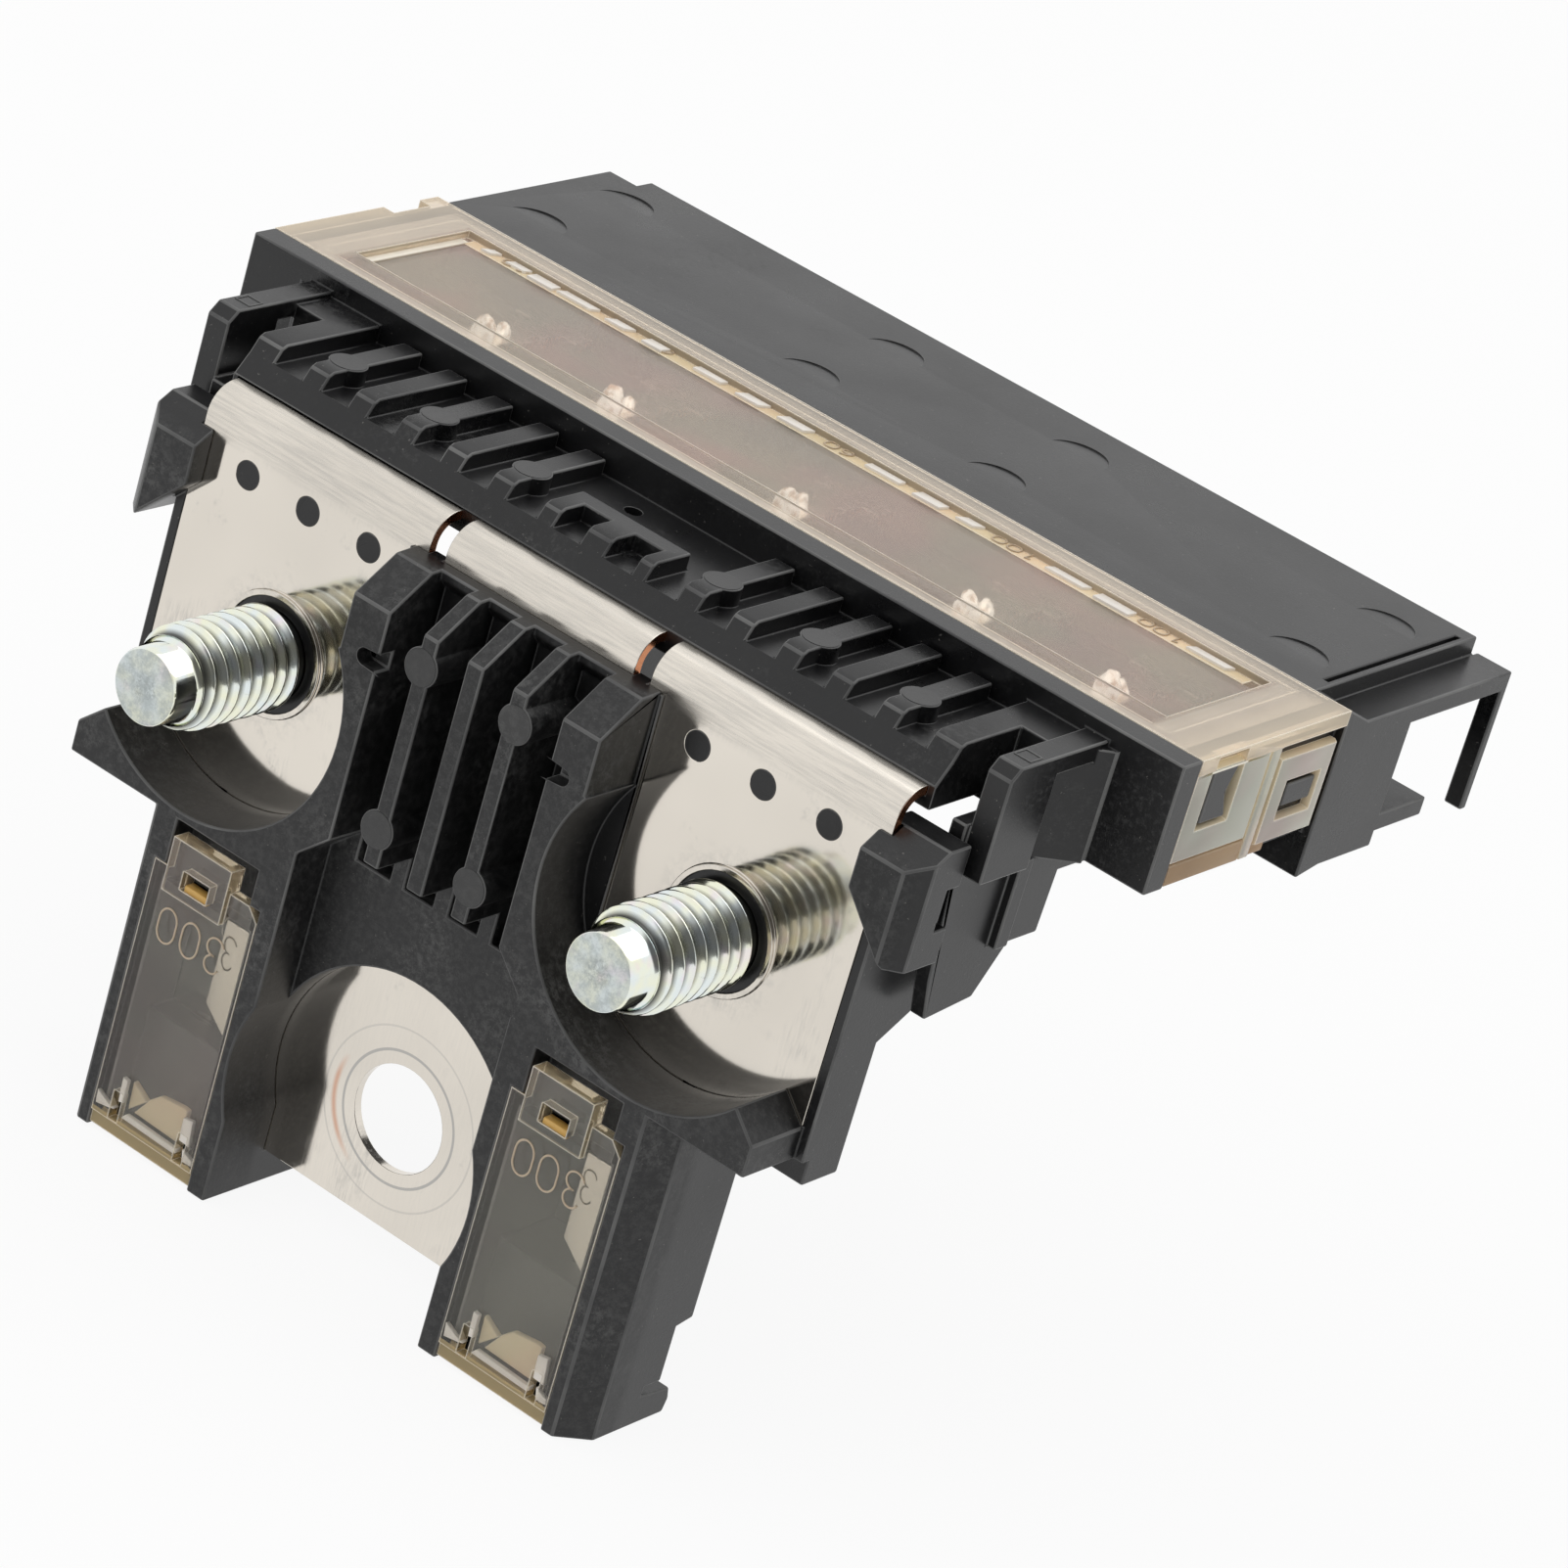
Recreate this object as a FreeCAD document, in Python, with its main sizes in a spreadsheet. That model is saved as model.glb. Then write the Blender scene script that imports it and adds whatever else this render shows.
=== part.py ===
# Battery terminal fuse with two stud outputs, two large links and a row of five small ones
#
# X runs along the length, Y points away from the studs, Z points up.
# The origin is the centre of the eyelet hole, on the front face of the busbar.
import FreeCAD, Part

import os
import re

import Sketcher

from FreeCAD import Placement, Rotation, Vector

# Driving sizes in mm, set as plain numbers in the sheet
SIZES = {
    # stamped busbar
    "sheet_thick": 0.8,
    "eyelet_r": 4.12,
    "eyelet_half": 12.6,
    "eyelet_low": -8.6,
    "eyelet_shoulder": 10.0,
    "centre_taper": 3.7,
    "centre_half": 8.9,
    "strip_gap": 1.5,
    "plate_edge": 32.4,
    "plate_bed": 0.5,
    "bend_start": 41.5,
    "bend_outer_r": 2.4,
    "lug_x": 21.5,
    "lug_z": 27.3,
    "stud_hole_r": 4.35,
    "plug_pitch": 5.95,
    "plug_drop": 2.65,
    "plug_r": 1.1,
    "link_inner": 18.0,
    "link_down_wide": 4.3,
    "link_wide": 4.0,
    "link_over": 4.0,
    "rim_r": 4.8,
    "rim_high": 0.3,
    "neck_r": 1.1,
    "neck_z": 6.0,
    # row of small links
    "bus_over": 2.4,
    "row_outer": 29.8,
    "row_centre": 17.1,
    "small_link_half": 1.6,
    "small_neck_r": 0.7,
    "small_neck_shift": 4.4,
    "tab_seat": 0.4,
    "tab_over": 7.0,
    "tab_half": 3.15,
    "pellet_start": 10.0,
    "pellet_r": 1.9,
    "pellet_half": 1.9,
    "pellet_rise": 0.5,
    # studs
    "stud_r": 3.95,
    "stud_tip": -13.5,
    "point_r": 2.95,
    "point_long": 2.8,
    "stud_head_r": 6.0,
    "stud_head_thick": 2.0,
    "stud_neck_r": 3.4,
    "stud_neck_start": -0.6,
    # front housing
    "front": -5.8,
    "block_half": 11.6,
    "block_gap": 0.4,
    "block_low": 4.3,
    "block_bevel": 2.7,
    "block_side": 7.1,
    "crown_y": -2.1,
    "crown_drop": 0.2,
    "skin_edge": 11.9,
    "skin": 0.3,
    "bowl_r": 11.75,
    "pocket_roof": 0.1,
    "wing_inset": 0.8,
    "wing_high": 2.5,
    "wing_arc": 2.2,
    "wing_arc_high": 4.6,
    "recess_inset": 0.1,
    "recess_high": 2.8,
    "recess_corner": 8.1,
    "recess_corner_high": 2.4,
    "recess_floor": -2.0,
    "recess_r": 11.7,
    "groove_inner": 0.75,
    "rib_inner": 3.5,
    "rib_outer": 4.9,
    "groove_outer": 8.1,
    "groove_floor": -0.3,
    "groove_end": -1.1,
    "groove_slope": 0.8,
    "disc_x": 4.43,
    "disc_drop": 5.1,
    "disc_pitch": 13.0,
    "disc_r": 1.5,
    "key_end": 9.35,
    "key_drop": 6.7,
    "key_r": 0.65,
    "pin_x": 10.2,
    "pin_over": 1.4,
    "pin_r": 0.7,
    "pin_deep": 1.5,
    "holder_wall": 1.7,
    "holder_rim": 1.1,
    "holder_bevel": 1.9,
    "holder_bevel_deep": 2.5,
    "holder_back": 4.9,
    "foot_edge": 0.3,
    "foot_round": 1.1,
    "foot_high": 2.1,
    "foot_nick": 3.6,
    "foot_nick_high": 3.1,
    "foot_step": 8.0,
    "foot_step_deep": 1.75,
    "holder_low": -11.5,
    "edge_strip": 0.9,
    "body_over": 3.7,
    "body_under": 2.0,
    "body_slope": 23.5,
    "body_slope_end": 25.5,
    "body_bevel": 5.1,
    "body_drop": 1.6,
    "tower_half": 7.5,
    "tower_front": 1.1,
    "tower_over": 0.8,
    "tower_root": 2.0,
    "clip_root": 2.0,
    "clip_wide": 3.4,
    "clip_front": -1.8,
    "clip_back": 3.4,
    "clip_high": 9.2,
    "clip_slant_drop": 4.8,
    "clip_edge_drop": 1.7,
    "clip_over": 0.2,
    "clip_top_y": 1.0,
    "clip_chamfer": 1.5,
    "clip_toe": 0.3,
    "clip_notch_deep": 0.8,
    "clip_notch_start": 2.8,
    "clip_notch_high": 3.2,
    # small link covers
    "cover_x": 17.5,
    "cover_half": 5.1,
    "lip_high": 1.1,
    "lip_over": 0.3,
    "cover_left_over": 1.7,
    "cover_right_over": 2.5,
    "cover_corner": 1.0,
    "lip_inset": 0.2,
    "cover_thick": 1.0,
    "bay_half": 4.3,
    "bay_floor": -1.6,
    "bay_over": 0.3,
    "bay_wall": 1.4,
    "foot_bay_back": -2.6,
    "loop_shift": 0.65,
    "loop_half": 2.88,
    "loop_low": 9.5,
    "loop_high": 4.4,
    "loop_proud": 0.5,
    "loop_hole_half": 1.3,
    "loop_bar": 0.8,
    "loop_hole_high": 1.5,
    "pocket_half": 4.05,
    "pocket_room": 1.0,
    "pocket_back": -3.6,
    "catch_gap": 0.15,
    "catch_inset": 0.2,
    "catch_low": 0.7,
    "slot_half": 0.45,
    "slot_left": 3.0,
    "slot_right": 3.6,
    "slot_over": 0.1,
    "slot_high": 2.4,
    # upper housing, rib field
    "field_under": 1.7,
    "field_over": 0.6,
    "shelf_gap": 0.3,
    "shelf_clear": 0.15,
    "ramp_y": 4.55,
    "ramp_round": 0.5,
    "ramp_foot": 1.2,
    "rib_high": 1.35,
    "rib_floor_over": 1.7,
    "rib_half": 0.95,
    "pocket_last": 2.74,
    "pocket_first": 2.9,
    "trough_wide": 0.4,
    "field_rim": 2.4,
    "pad_y": 7.6,
    "pad_r": 1.5,
    "bracket_half": 5.1,
    "bracket_back": 8.8,
    "notch_back": 7.1,
    "notch_left": 3.55,
    "notch_mid_left": 1.0,
    "notch_mid_right": 1.25,
    "notch_right": 3.85,
    "vent_x": -3.1,
    "vent_y": 12.6,
    "vent_r": 0.7,
    "vent_deep": 1.0,
    # upper housing, arms and tongues
    "tongue_thick": 1.3,
    "arm_thick": 2.1,
    "arm_front": 4.15,
    "arm_back": 9.8,
    "arm_long": 8.9,
    "arm_over": 0.45,
    "arm_round": 0.9,
    "arm_plate": 1.5,
    "slit_deep": 3.9,
    "shoulder_root": 1.0,
    "shoulder_over": 0.9,
    "shoulder_drop": 0.3,
    "tongue_clear": 1.0,
    "tongue_front": 3.75,
    "tongue_neck": 1.2,
    "tongue_lean": 1.45,
    "tongue_bevel": 3.3,
    "tongue_toe_front": 6.1,
    "tongue_drop": 12.1,
    "tongue_toe": 11.5,
    "tongue_toe_rise": 0.5,
    "tongue_step_front": 14.1,
    "tongue_step_drop": 7.8,
    "tongue_heel": 17.5,
    "tongue_heel_lean": 0.3,
    "tongue_end": 20.9,
    "tongue_end_drop": 2.9,
    "tongue_rib_front": 11.2,
    "tongue_rib_back": 12.7,
    "tongue_rib_drop": 7.4,
    "tongue_rib_thick": 0.8,
    # upper housing, frame and rear box
    "frame_front": 15.3,
    "rim_wall": 2.3,
    "leg_thick": 0.8,
    "frame_under": 5.5,
    "floor_thick": 2.0,
    "top_over": 4.6,
    "lid_thick": 1.2,
    "wall_half": 43.1,
    "wall_thick": 1.6,
    "ledge_over": 2.0,
    "sill_wide": 2.2,
    "loop_gap": 0.4,
    "box_inset": 1.0,
    "box_ledge": 3.2,
    "line_inset": 0.7,
    "socket_deep": 12.3,
    "ledge_drop": 1.45,
    "ledge_start": 3.1,
    "ledge_lip": 0.8,
    "box_drop": 3.0,
    "box_toe": 2.7,
    "box_toe_drop": 0.5,
    "corner_wide": 2.8,
    "corner_deep": 1.9,
    "line_start": 2.3,
    "line_stop": 1.6,
    "core_deep": 9.6,
    "roof_thick": 3.0,
    "socket_base": 2.7,
    "socket_floor_thick": 1.5,
    "socket_slope": 0.6,
    "socket_floor_deep": 6.2,
    "socket_leg_deep": 2.9,
    "socket_leg_gap": 0.2,
    "window_drop": 0.7,
    "end_thick": 1.5,
    "divider_x": 13.4,
    "divider_half": 0.7,
    "line_half": 0.18,
    "line_deep": 0.5,
    "mark_r": 2.5,
    "mark_tilt": 3.0,
    "mark_high": 1.0,
    "mark_edge_left": 5.0,
    "mark_mid_left": 10.4,
    "mark_mid_right": 7.6,
    "mark_edge_right": 4.5,
    "mark_start": 4.8,
    "mark_stop": 6.3,
    "mark_step": 0.9,
    # long cover
    "window_inset": 5.5,
    "window_start": 3.2,
    "window_stop": 2.5,
    "window_deep": 0.6,
    "leg_under": 0.2,
    "leg_side": 3.6,
    "bar_wide": 1.2,
    "foot_start": 0.9,
    "foot_over": 2.0,
    "loop_under": 0.8,
    "loop_side": 1.2,
    "leg_eye_start": 2.1,
    "leg_eye_wide": 3.8,
    "leg_eye_under": 2.4,
    "leg_eye_roof": 0.2,
    "loop_eye_start": 2.3,
    "loop_eye_wide": 4.2,
    "loop_eye_under": 1.8,
    "loop_eye_high": 3.0,
    "far_leg_start": 0.4,
    "nick_wide": 4.3,
    "nick_stop": 2.1,
    "nick_deep": 1.1,
    "hook_gap": 0.3,
    "hook_waist": 0.9,
    "bar_gap": 0.05,
    "loop_drop": 1.0,
}

# Sizes that follow from the driving ones
FOLLOWING = {
    # levels of the strips and of what lies on them
    "strip_top": "bend_start + bend_outer_r",
    "shelf_z": "strip_top + shelf_clear",
    "rib_floor": "strip_top + rib_floor_over",
    "rib_top": "rib_floor + rib_high",
    "top": "strip_top + top_over",
    "seat": "top - lid_thick",
    "lid_window_z": "top - window_deep",
    "field_low": "strip_top - field_under",
    "frame_low": "strip_top - frame_under",
    "frame_floor": "frame_low + floor_thick",
    "arm_top": "rib_top + arm_over",
    "arm_plate_low": "arm_top - arm_plate",
    "arm_low": "arm_top - arm_long",
    "shoulder_low": "frame_low - shoulder_drop",
    "tongue_end_low": "frame_low - tongue_end_drop",
    "tongue_step": "frame_low - tongue_step_drop",
    "tongue_low": "frame_low - tongue_drop",
    "tongue_rib_low": "frame_low - tongue_rib_drop",
    "box_low": "frame_low - box_drop",
    "roof_low": "top - roof_thick",
    "ledge_top": "top - ledge_drop",
    "socket_floor": "box_low + socket_base",
    "socket_floor_low": "socket_floor - socket_floor_thick",
    "socket_leg_low": "box_low + socket_leg_gap",
    "window_top": "strip_top - window_drop",
    "lid_leg_bottom": "frame_floor - leg_under",
    "lid_leg_low": "frame_low + bar_gap",
    "lid_loop_bottom": "frame_low + loop_under",
    "leg_eye_low": "lid_leg_bottom + leg_eye_under",
    "leg_eye_top": "top - leg_eye_roof",
    "loop_eye_low": "lid_loop_bottom + loop_eye_under",
    "loop_eye_top": "loop_eye_low + loop_eye_high",
    "lid_gap_low": "seat - loop_drop",
    # levels of the front housing
    "block_top": "bend_start - block_gap",
    "block_chamfer": "block_top - block_bevel",
    "block_side_low": "block_top - block_side",
    "disc_high": "block_top - disc_drop",
    "disc_low": "disc_high - disc_pitch",
    "key_z": "block_top - key_drop",
    "body_top_front": "block_top - body_drop",
    "body_top_back": "block_top - body_bevel",
    "tower_top": "block_top + tower_over",
    "tower_low": "body_top_back - tower_root",
    "plug_z": "bend_start - plug_drop",
    "clip_top": "block_top + clip_over",
    "clip_edge": "clip_top - clip_edge_drop",
    "clip_slant": "clip_top - clip_slant_drop",
    "clip_low": "clip_top - clip_high",
    "clip_notch_low": "clip_low + clip_notch_start",
    "clip_notch_top": "clip_notch_low + clip_notch_high",
    "loop_top": "loop_low + loop_high",
    "loop_hole_low": "loop_low + loop_bar",
    "loop_hole_top": "loop_hole_low + loop_hole_high",
    "cover_left": "loop_low + cover_left_over",
    "cover_right": "loop_low + cover_right_over",
    "bay_top": "loop_low + bay_over",
    "pocket_top": "loop_top + pocket_room",
    "wing_low": "pocket_top + pocket_roof",
    "plate_low": "wing_low + plate_bed",
    "wing_tip_top": "wing_low + wing_high",
    "wing_arc_z": "wing_low + wing_arc_high",
    "body_low": "wing_low - body_under",
    "pin_z": "wing_low + pin_over",
    "recess_side": "wing_low + recess_high",
    "recess_top": "recess_side + recess_corner_high",
    "cover_lip": "holder_low + lip_over",
    "cover_low": "cover_lip + lip_high",
    "slot_low": "cover_low + slot_over",
    "slot_top": "slot_low + slot_high",
    "link_low": "holder_low + link_over",
    "link_turn": "link_low + link_wide",
    # places across the part
    "body_half": "plate_edge + edge_strip",
    "field_half": "plate_edge + field_over",
    "field_edge": "field_half - field_rim",
    "rib_first": "bracket_half + pocket_first + rib_half",
    "rib_pitch": "(field_edge - rib_first - rib_half - pocket_last) / 4",
    "wing_tip": "body_half - wing_inset",
    "wing_arc_x": "wing_tip - wing_arc",
    "clip_inner": "body_half - clip_root",
    "clip_outer": "body_half + clip_wide",
    "clip_face": "clip_outer - clip_chamfer",
    "holder_inner": "cover_x - cover_half - holder_wall",
    "holder_face": "cover_x + cover_half + holder_rim",
    "holder_outer": "holder_face + holder_bevel",
    "recess_half": "holder_inner - recess_inset",
    "link_outer": "link_inner + link_down_wide",
    "tongue_inner": "body_half + tongue_clear",
    "arm_inner": "tongue_inner + tongue_thick",
    "arm_outer": "arm_inner + arm_thick",
    "shoulder_inner": "field_half - shoulder_root",
    "shoulder_half": "arm_outer + shoulder_over",
    "tongue_rib_out": "arm_inner + tongue_rib_thick",
    "frame_half": "wall_half + leg_thick",
    "box_left": "frame_half - box_inset",
    "box_split": "frame_half - box_ledge",
    "line_x": "box_split - line_inset",
    "lid_window": "frame_half - window_inset",
    "mark_left": "box_left - mark_edge_left",
    "mark_right": "box_split - mark_edge_right",
    # places from front to back
    "holder_side": "front + holder_bevel_deep",
    "body_back": "holder_back + body_over",
    "bay_back": "holder_back - bay_wall",
    "shelf_y": "bend_outer_r + shelf_gap",
    "rib_back": "frame_front - trough_wide",
    "slit_back": "frame_front - slit_deep",
    "frame_rim": "frame_front + rim_wall",
    "bus_end": "frame_rim + bus_over",
    "ledge_back": "bus_end + ledge_over",
    "leg_eye_front": "frame_rim + leg_eye_start",
    "leg_eye_back": "leg_eye_front + leg_eye_wide",
    "lid_leg_back": "leg_eye_back + leg_side",
    "lid_bar_back": "lid_leg_back + bar_wide",
    "loop_eye_front": "lid_bar_back + loop_eye_start",
    "loop_eye_back": "loop_eye_front + loop_eye_wide",
    "lid_loop_back": "loop_eye_back + loop_side",
    "box_front": "lid_loop_back + loop_gap",
    "lid_window_front": "frame_rim + window_start",
    "lid_window_back": "box_front - window_stop",
    "lid_foot_front": "frame_rim + foot_start",
    "lid_foot_back": "lid_bar_back + foot_over",
    "far_leg_front": "frame_rim + far_leg_start",
    "nick_back": "box_front - nick_stop",
    "nick_front": "nick_back - nick_wide",
    "pellet_y": "frame_rim + pellet_start",
    "sill_front": "box_front - sill_wide",
    "tab_start": "sill_front + tab_seat",
    "box_core": "box_front + core_deep",
    "box_back": "box_core + socket_deep",
    "tab_end": "box_core + tab_over",
    "ledge_end": "box_back + ledge_lip",
    "socket_floor_end": "box_core + socket_floor_deep",
    "socket_leg": "box_back - socket_leg_deep",
    "ledge_front": "box_front + ledge_start",
    "mark_front": "box_front + mark_start",
    "mark_back": "box_back - mark_stop",
}

NAME = re.compile(r"[a-z][a-z_]*")
TURN = {
    "x": Rotation(Vector(0, 1, 0), 90),
    "y": Rotation(Vector(1, 0, 0), -90),
    "z": Rotation(),
}
PLANES = {"XY": "XY_Plane", "XZ": "XZ_Plane", "YZ": "YZ_Plane"}

os.makedirs("parts", exist_ok=True)
doc = FreeCAD.newDocument("battery_terminal_fuse")


def fill_sheet():
    """Write every size into the sheet with its word alias."""
    sheet = doc.addObject("Spreadsheet::Sheet", "sizes")
    rows = [(alias, str(value)) for alias, value in SIZES.items()]
    rows += [(alias, f"={text}") for alias, text in FOLLOWING.items()]
    for row, (alias, content) in enumerate(rows, start=1):
        sheet.set(f"A{row}", alias)
        sheet.set(f"B{row}", content)
        sheet.setAlias(f"B{row}", alias)
    doc.recompute()


def formula(text):
    """Point each size name in a formula at the sheet."""
    def from_sheet(found):
        word = found.group()
        return f"sizes.{word}" if word in SIZES or word in FOLLOWING else word
    return NAME.sub(from_sheet, str(text))


def minus(text):
    """The same length on the other side of zero."""
    return f"-({text})"


def block(name, x, y, z):
    """Box between a low and a high formula on each axis."""
    item = doc.addObject("Part::Box", name)
    for axis, side, (low, high) in zip("xyz", ("Length", "Width", "Height"), (x, y, z)):
        item.setExpression(f"Placement.Base.{axis}", formula(low))
        item.setExpression(side, formula(f"({high}) - ({low})"))
    return item


def rod(name, axis, start, radius, length):
    """Cylinder from a start point along one axis."""
    item = doc.addObject("Part::Cylinder", name)
    item.Placement = Placement(Vector(), TURN[axis])
    for letter, value in zip("xyz", start):
        item.setExpression(f"Placement.Base.{letter}", formula(value))
    item.setExpression("Radius", formula(radius))
    item.setExpression("Height", formula(length))
    return item


def outline(sketch, points):
    """Closed chain of lines whose corners are held by formulas."""
    count = len(points)
    for index, (across, up) in enumerate(points):
        after = points[(index + 1) % count]
        ends = [Vector(sketch.evalExpression(formula(a)), sketch.evalExpression(formula(b)), 0)
                for a, b in ((across, up), after)]
        sketch.addGeometry(Part.LineSegment(*ends), False)
    for index in range(count):
        sketch.addConstraint(Sketcher.Constraint("Coincident", index, 2, (index + 1) % count, 1))
    for index, corner in enumerate(points):
        for kind, value in zip(("DistanceX", "DistanceY"), corner):
            now = float(sketch.evalExpression(formula(value)))
            held = sketch.addConstraint(Sketcher.Constraint(kind, -1, 1, index, 1, now))
            sketch.setExpression(f"Constraints[{held}]", formula(value))


def prism(name, plane, points, low, high):
    """Body padded from an outline on one plane, between two formulas on its normal."""
    body = doc.addObject("PartDesign::Body", name)
    sketch = body.newObject("Sketcher::SketchObject", f"{name}_outline")
    base = next(item for item in body.Origin.OriginFeatures if item.Role == PLANES[plane])
    sketch.AttachmentSupport = [(base, "")]
    sketch.MapMode = "FlatFace"
    start = minus(high) if plane == "XZ" else low
    sketch.setExpression("AttachmentOffset.Base.z", formula(start))
    outline(sketch, points)
    pad = body.newObject("PartDesign::Pad", f"{name}_pad")
    pad.Profile = sketch
    pad.setExpression("Length", formula(f"({high}) - ({low})"))
    sketch.Visibility = False
    return body


def fuse(name, items):
    """One solid from touching solids."""
    item = doc.addObject("Part::MultiFuse", name)
    item.Shapes = items
    item.Refine = True
    return item


def common(name, items):
    """What the given solids share."""
    item = doc.addObject("Part::MultiCommon", name)
    item.Shapes = items
    return item


def cut(name, base, tools):
    """The base solid less every tool."""
    item = doc.addObject("Part::Cut", name)
    item.Base = base
    item.Tool = tools[0] if len(tools) == 1 else fuse(f"{name}_tools", tools)
    item.Refine = True
    return item


def mirror(item):
    """Copy of a solid on the other side of the middle plane."""
    twin = doc.addObject("Part::Mirroring", f"{item.Name}_twin")
    twin.Source = item
    twin.Normal = Vector(1, 0, 0)
    return twin


def pair(item):
    """A solid and its mirrored twin."""
    return [item, mirror(item)]


def both(half):
    """Close a right-hand outline over the middle plane."""
    return list(half) + [(minus(across), up) for across, up in reversed(half)]


def row_places():
    """Name and X formula of each small link."""
    return [
        ("far_left", minus("row_outer")),
        ("left", minus("row_centre")),
        ("middle", "0"),
        ("right", "row_centre"),
        ("far_right", "row_outer"),
    ]


def bend(name, low, high):
    """Quarter turn of the sheet at the top of one strip."""
    start = (low, "bend_outer_r", "bend_start")
    wide = f"({high}) - ({low})"
    outer = rod(f"{name}_outer", "x", start, "bend_outer_r", wide)
    inner = rod(f"{name}_inner", "x", start, "bend_outer_r - sheet_thick", wide)
    corner = block(f"{name}_corner", (low, high), ("0", "bend_outer_r"),
                   ("bend_start", "strip_top"))
    return common(name, [cut(f"{name}_shell", outer, [inner]), corner])


def top_strip(name, low, high, end):
    """Flat run of one strip behind its bend."""
    top = "strip_top"
    return block(name, (low, high), ("bend_outer_r", end), (f"{top} - sheet_thick", top))


def make_busbar():
    """Stamped sheet with eyelet, stud plates, links, bends and tabs."""
    face = ("0", "sheet_thick")
    centre = prism("centre_plate", "XZ", both([
        ("eyelet_half", "eyelet_low"),
        ("eyelet_half", "eyelet_shoulder"),
        ("centre_half", "eyelet_shoulder + centre_taper"),
        ("centre_half", "bend_start"),
    ]), *face)
    gap_edge = "centre_half + strip_gap"
    side = block("side_plate", (gap_edge, "plate_edge"), face, ("plate_low", "bend_start"))
    rim = rod("stud_rim", "y", ("lug_x", "-rim_high", "lug_z"), "rim_r", "rim_high")
    down = block("link_down", ("link_inner", "link_outer"), face, ("link_low", "plate_low"))
    across = block("link_across", ("eyelet_half", "link_outer"), face, ("link_low", "link_turn"))
    parts = [centre, bend("centre_bend", minus("centre_half"), "centre_half")]
    parts.append(top_strip("centre_strip", minus("centre_half"), "centre_half", "bus_end"))
    for item in (side, rim, down, across, bend("side_bend", gap_edge, "plate_edge"),
                 top_strip("side_strip", gap_edge, "plate_edge", "bus_end")):
        parts += pair(item)
    holes = [rod("eyelet_hole", "y", ("0", "0", "0"), "eyelet_r", "sheet_thick")]
    holes += pair(rod("stud_hole", "y", ("lug_x", "-rim_high", "lug_z"), "stud_hole_r",
                      "sheet_thick + rim_high"))
    for step in (-1, 0, 1):
        place = (f"lug_x + {step} * plug_pitch", "0", "plug_z")
        holes += pair(rod(f"plug_hole_{step + 2}", "y", place, "plug_r", "sheet_thick"))
    for edge in ("link_inner", "link_outer"):
        holes += pair(rod(f"neck_{edge}", "y", (edge, "0", "neck_z"), "neck_r", "sheet_thick"))
    top = "strip_top"
    for name, x in row_places():
        half = "small_link_half"
        parts.append(top_strip(f"small_link_{name}", f"{x} - {half}", f"{x} + {half}", "tab_start"))
        parts.append(block(f"tab_{name}", (f"{x} - tab_half", f"{x} + tab_half"),
                           ("tab_start", "tab_end"), (f"{top} - sheet_thick", top)))
        for sign in ("-", "+"):
            place = (f"{x} {sign} {half}", "pellet_y + small_neck_shift", f"{top} - sheet_thick")
            side_name = "low" if sign == "-" else "high"
            holes.append(rod(f"small_neck_{name}_{side_name}", "z", place,
                             "small_neck_r", "sheet_thick"))
    return cut("busbar", fuse("busbar_sheet", parts), holes)


def make_stud(name, x):
    """Pressed-in stud with a head behind the plate, a neck through it and a dog point."""
    head = rod(f"{name}_head", "y", (x, "sheet_thick", "lug_z"), "stud_head_r", "stud_head_thick")
    neck = rod(f"{name}_neck", "y", (x, "stud_neck_start", "lug_z"), "stud_neck_r",
               "sheet_thick - stud_neck_start")
    shank = rod(f"{name}_shank", "y", (x, "stud_tip + point_long", "lug_z"), "stud_r",
                "stud_neck_start - stud_tip - point_long")
    point = rod(f"{name}_point", "y", (x, "stud_tip", "lug_z"), "point_r", "point_long")
    return fuse(name, [head, neck, shank, point])


def make_pellet(name, x, busbar):
    """Tin pellet crimped round one small link."""
    middle = "strip_top - sheet_thick / 2"
    roll = rod(f"{name}_roll", "x", (f"{x} - pellet_half", "pellet_y", f"{middle} + pellet_rise"),
               "pellet_r", "2 * pellet_half")
    return cut(name, roll, [busbar])


def link_cover(name, x):
    """Clear cover plate of one large link with its latch loop and foot slots."""
    face = "front"
    back = "front + cover_thick"
    plate = prism(f"{name}_plate", "XZ", [
        (f"{x} - cover_half", "cover_low"),
        (f"{x} + cover_half", "cover_low"),
        (f"{x} + cover_half", "cover_right - cover_corner"),
        (f"{x} + cover_half - cover_corner", "cover_right"),
        (f"{x} + loop_half - loop_shift", "cover_right"),
        (f"{x} - loop_half - loop_shift", "cover_left"),
        (f"{x} - cover_half", "cover_left"),
    ], face, back)
    middle = f"{x} - loop_shift"
    loop = block(f"{name}_loop", (f"{middle} - loop_half", f"{middle} + loop_half"),
                 ("front - loop_proud", back), ("loop_low", "loop_top"))
    lip = block(f"{name}_lip", (f"{x} - cover_half", f"{x} + cover_half"),
                ("front + lip_inset", back), ("cover_lip", "cover_low"))
    eye = block(f"{name}_eye", (f"{middle} - loop_hole_half", f"{middle} + loop_hole_half"),
                ("front - loop_proud", back), ("loop_hole_low", "loop_hole_top"))
    tools = [eye]
    for side, shift in (("left", minus("slot_left")), ("right", "slot_right")):
        tools.append(block(f"{name}_slot_{side}",
                           (f"{x} + {shift} - slot_half", f"{x} + {shift} + slot_half"),
                           (face, back), ("slot_low", "slot_top")))
    return cut(name, fuse(f"{name}_blank", [plate, loop, lip]), tools)


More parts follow.
